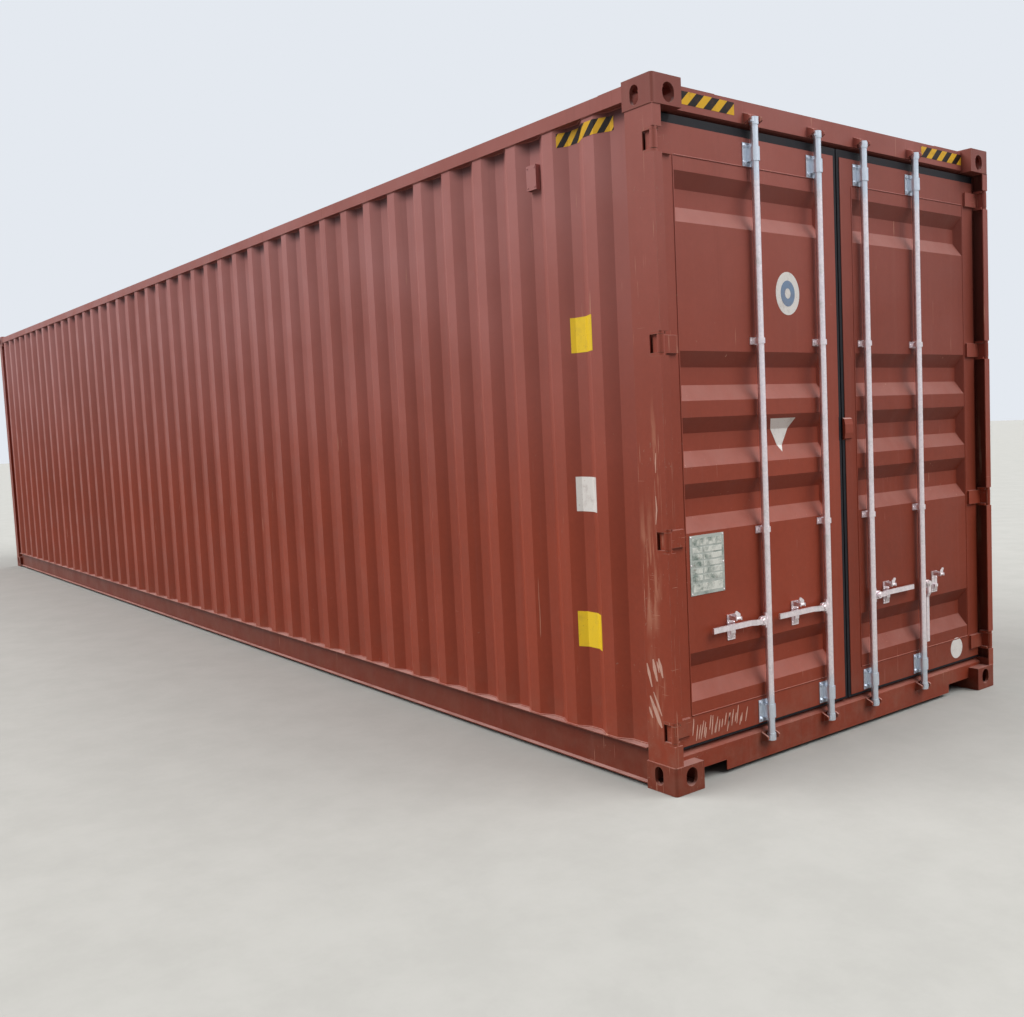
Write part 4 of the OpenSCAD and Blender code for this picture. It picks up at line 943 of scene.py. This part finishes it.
def makePlateRivets():
    plan = platePlan
    inset, half = plan["rivetInset"], plan["width"] / 2
    ys = (plan["middle"] - half + inset, plan["middle"] + half - inset)
    z0, z1 = plan["low"] + inset, plan["low"] + plan["height"] - inset
    spots = [((plan["face"], y, z), (1, 0, 0)) for y in ys for z in (z0, (z0 + z1) / 2, z1)]
    addHeads("plateRivets", spots, "left_door", plan["rivet"], 6)


# Rivets through the strips that hold the gaskets, on the leaves' backs
leafRivetPlan = {"inset": 22, "pitch": 190, "rivet": (0.0055, 0.0028)}


def makeLeafRivets():
    shape, inset, pitch = leafShape, leafRivetPlan["inset"], leafRivetPlan["pitch"]
    y0, y1 = shape["inner"] + inset, shape["outer"] - inset
    z0, z1 = shape["low"] + inset, shape["high"] - inset
    across, up = round((y1 - y0) / pitch), round((z1 - z0) / pitch)
    places = [(y0 + (y1 - y0) * k / across, z) for k in range(across + 1) for z in (z0, z1)]
    places += [(y, z0 + (z1 - z0) * k / up) for k in range(1, up) for y in (y0, y1)]
    for side, word in sides:
        spots = [((shape["back"], side * y, z), (-1, 0, 0)) for y, z in places]
        addHeads(word + "LeafRivets", spots, word + "_door", leafRivetPlan["rivet"], 7)


floorPlan = {"top": 157, "first": -5871, "pitch": 300, "count": 40, "half": 1150, "across": 8,
             "screw": (0.0062, 0.0010)}


def makeFloorScrews():
    plan = floorPlan
    ys = [plan["half"] * (2 * m / (plan["across"] - 1) - 1) for m in range(plan["across"])]
    spots = [((plan["first"] + k * plan["pitch"], y, plan["top"]), (0, 0, 1))
             for k in range(plan["count"]) for y in ys]
    addHeads("floorScrews", spots, "container", plan["screw"], 8)


ventPlan = {"middle": 5265.5, "spread": 26, "face": 1202, "heights": (2608, 2694), "rivet": (0.005, 0.0025)}


def makeVentRivets():
    plan = ventPlan
    spots = [((plan["middle"] + dx, side * plan["face"], z), (0, side, 0)) for side in (-1, 1)
             for dx in (-plan["spread"], plan["spread"]) for z in plan["heights"]]
    addHeads("ventRivets", spots, "container", plan["rivet"], 9, finish="vent")


makeGearFasteners()
makePlateRivets()
makeLeafRivets()
makeFloorScrews()
makeVentRivets()
print("fasteners made")


# Weld beads, where sheets and bars meet
weldPlan = {
    "wall": (0.0042, 0.012), "joint": (0.0024, 0.009), "door": (0.0030, 0.010),  # radius and step
    "lift": 0.5, "inset": 6, "outer": 1216,
    "posts": [(5928, 1171, 6093), (-6093, 1156, -5983)], "postEnds": (118, 2778),
    "rails": [(1190, (17, 171)), (1158, (2820, 2880))], "railEnd": 5918,
    "keeper": 42, "keepers": [(2791, 2836), (133, 88)],
    "panel": (108, 295, 1060, 2611), "blades": (257, 1052, 1847, 2642), "blade": (1074, 1158, 36),
}


def wallPath(side, z):
    shape, inset, lift = wallShape, weldPlan["inset"], weldPlan["lift"]
    first, last = shape["start"] + inset, shape["stop"] - inset
    xs = [first] + wallKinks(first, last) + [last]
    return [(x, side * (wallOut(x) + lift), z) for x in xs], False


def addBeads(name, paths, body, bead, seed):
    grow(name, pathMesh("paths", paths), weldTree, body, "container_paint", "weld", True,
         Radius=bead[0], Step=bead[1], Seed=seed)


def makeWelds():
    plan, face, joints = weldPlan, gearPlan["face"], []
    outer, end, half = plan["outer"], plan["railEnd"], plan["keeper"]
    for side, word in sides:
        paths = [wallPath(side, wallShape["low"] + 1), wallPath(side, wallShape["high"] - 1)]
        addBeads(word + "WallWelds", paths, "container", plan["wall"], 11)
        for z in plan["postEnds"]:
            for x0, inner, x1 in plan["posts"]:
                joints.append(([(x, y, z) for x, y in rect(x0, side * inner, x1, side * outer)], True))
        for inner, heights in plan["rails"]:
            joints += [([(x, side * inner, z), (x, side * outer, z)], False)
                       for z in heights for x in (-end, end)]
    for y in gearPlan["bars"]:
        for near, far in plan["keepers"]:
            corners = ((y - half, near), (y - half, far), (y + half, far), (y + half, near))
            joints.append(([(face, *corner) for corner in corners], False))
    addBeads("jointWelds", joints, "container", plan["joint"], 12)

    y0, z0, y1, z1 = plan["panel"]
    inner, outer, half = plan["blade"]
    face = leafShape["face"]
    for side, word in sides:
        paths = [([(face, y, z) for y, z in rect(side * y0, z0, side * y1, z1)], True)]
        for z in plan["blades"]:
            corners = ((outer, z - half), (inner, z - half), (inner, z + half), (outer, z + half))
            paths.append(([(face + plan["lift"], side * y, height) for y, height in corners], False))
        addBeads(word + "DoorWelds", paths, word + "_door", plan["door"], 13)


makeWelds()
print("welds made")


stageLook = {"half": 90, "level": -0.001, "colour": tone(168, 167, 162), "other": tone(162, 161, 156),
             "bounce": tone(94, 91, 86)}


def makeStage():
    look, mesh = stageLook, bpy.data.meshes.new("studioFloor")
    corners = [(x * look["half"], y * look["half"], look["level"]) for x, y in rect(-1, -1, 1, 1)]
    mesh.from_pydata(corners, [], [(0, 1, 2, 3)])
    material, tree, shader, vector = newFinish("studioFloor")
    mix = fit(tree, noise(tree, vector, 3, 6, 0.7), 0.3, 0.7)
    colour = blendTone(tree, mix, look["colour"], look["other"])
    rays = put(tree, "ShaderNodeLightPath").outputs
    seen = most(tree, rays["Is Camera Ray"], rays["Is Glossy Ray"])
    join(tree, shader, Base_Color=blendTone(tree, seen, look["bounce"], colour), Roughness=0.9)
    mesh.materials.append(material)
    newObject("studioFloor", mesh)


lightPlan = {
    "world": tone(214, 220, 228), "worldStrength": 0.20, "sky": tone(228, 233, 240),
    "suns": [  # name, direction it comes from, angle of its disc, strength
        ("skySide", (-0.50, -0.85, 1.05), 45, 2.70),
        ("skyDoor", (0.85, 0.42, 1.10), 45, 2.25),
        ("skyTop", (-0.10, 0.15, 1.0), 70, 0.55),
        ("skyFar", (0.05, 0.95, 1.0), 60, 1.00),
    ],
    "distance": 20,
}


def makeLights():
    plan = lightPlan
    world = bpy.data.worlds.new("studioWorld")
    world.use_nodes = True
    tree = world.node_tree
    tree.nodes.clear()
    soft = put(tree, "ShaderNodeBackground", {"Color": plan["world"], "Strength": plan["worldStrength"]})
    seen = put(tree, "ShaderNodeBackground", {"Color": plan["sky"], "Strength": 1.0})
    rays = put(tree, "ShaderNodeLightPath").outputs
    shown = most(tree, rays["Is Camera Ray"], rays["Is Glossy Ray"])
    mixed = put(tree, "ShaderNodeMixShader", {0: shown, 1: soft.outputs[0], 2: seen.outputs[0]}).outputs[0]
    put(tree, "ShaderNodeOutputWorld", {"Surface": mixed})
    bpy.context.scene.world = world
    for name, place, angle, strength in plan["suns"]:
        data = bpy.data.lights.new(name, "SUN")
        data.angle, data.energy = math.radians(angle), strength
        lamp = newObject(name, data)
        lamp.location = Vector(place) * plan["distance"]
        lamp.rotation_mode = "QUATERNION"
        lamp.rotation_quaternion = (-Vector(place)).to_track_quat("-Z", "Y")


makeStage()
makeLights()
bpy.context.scene.view_settings.view_transform = "Standard"
print("stage and lights made")
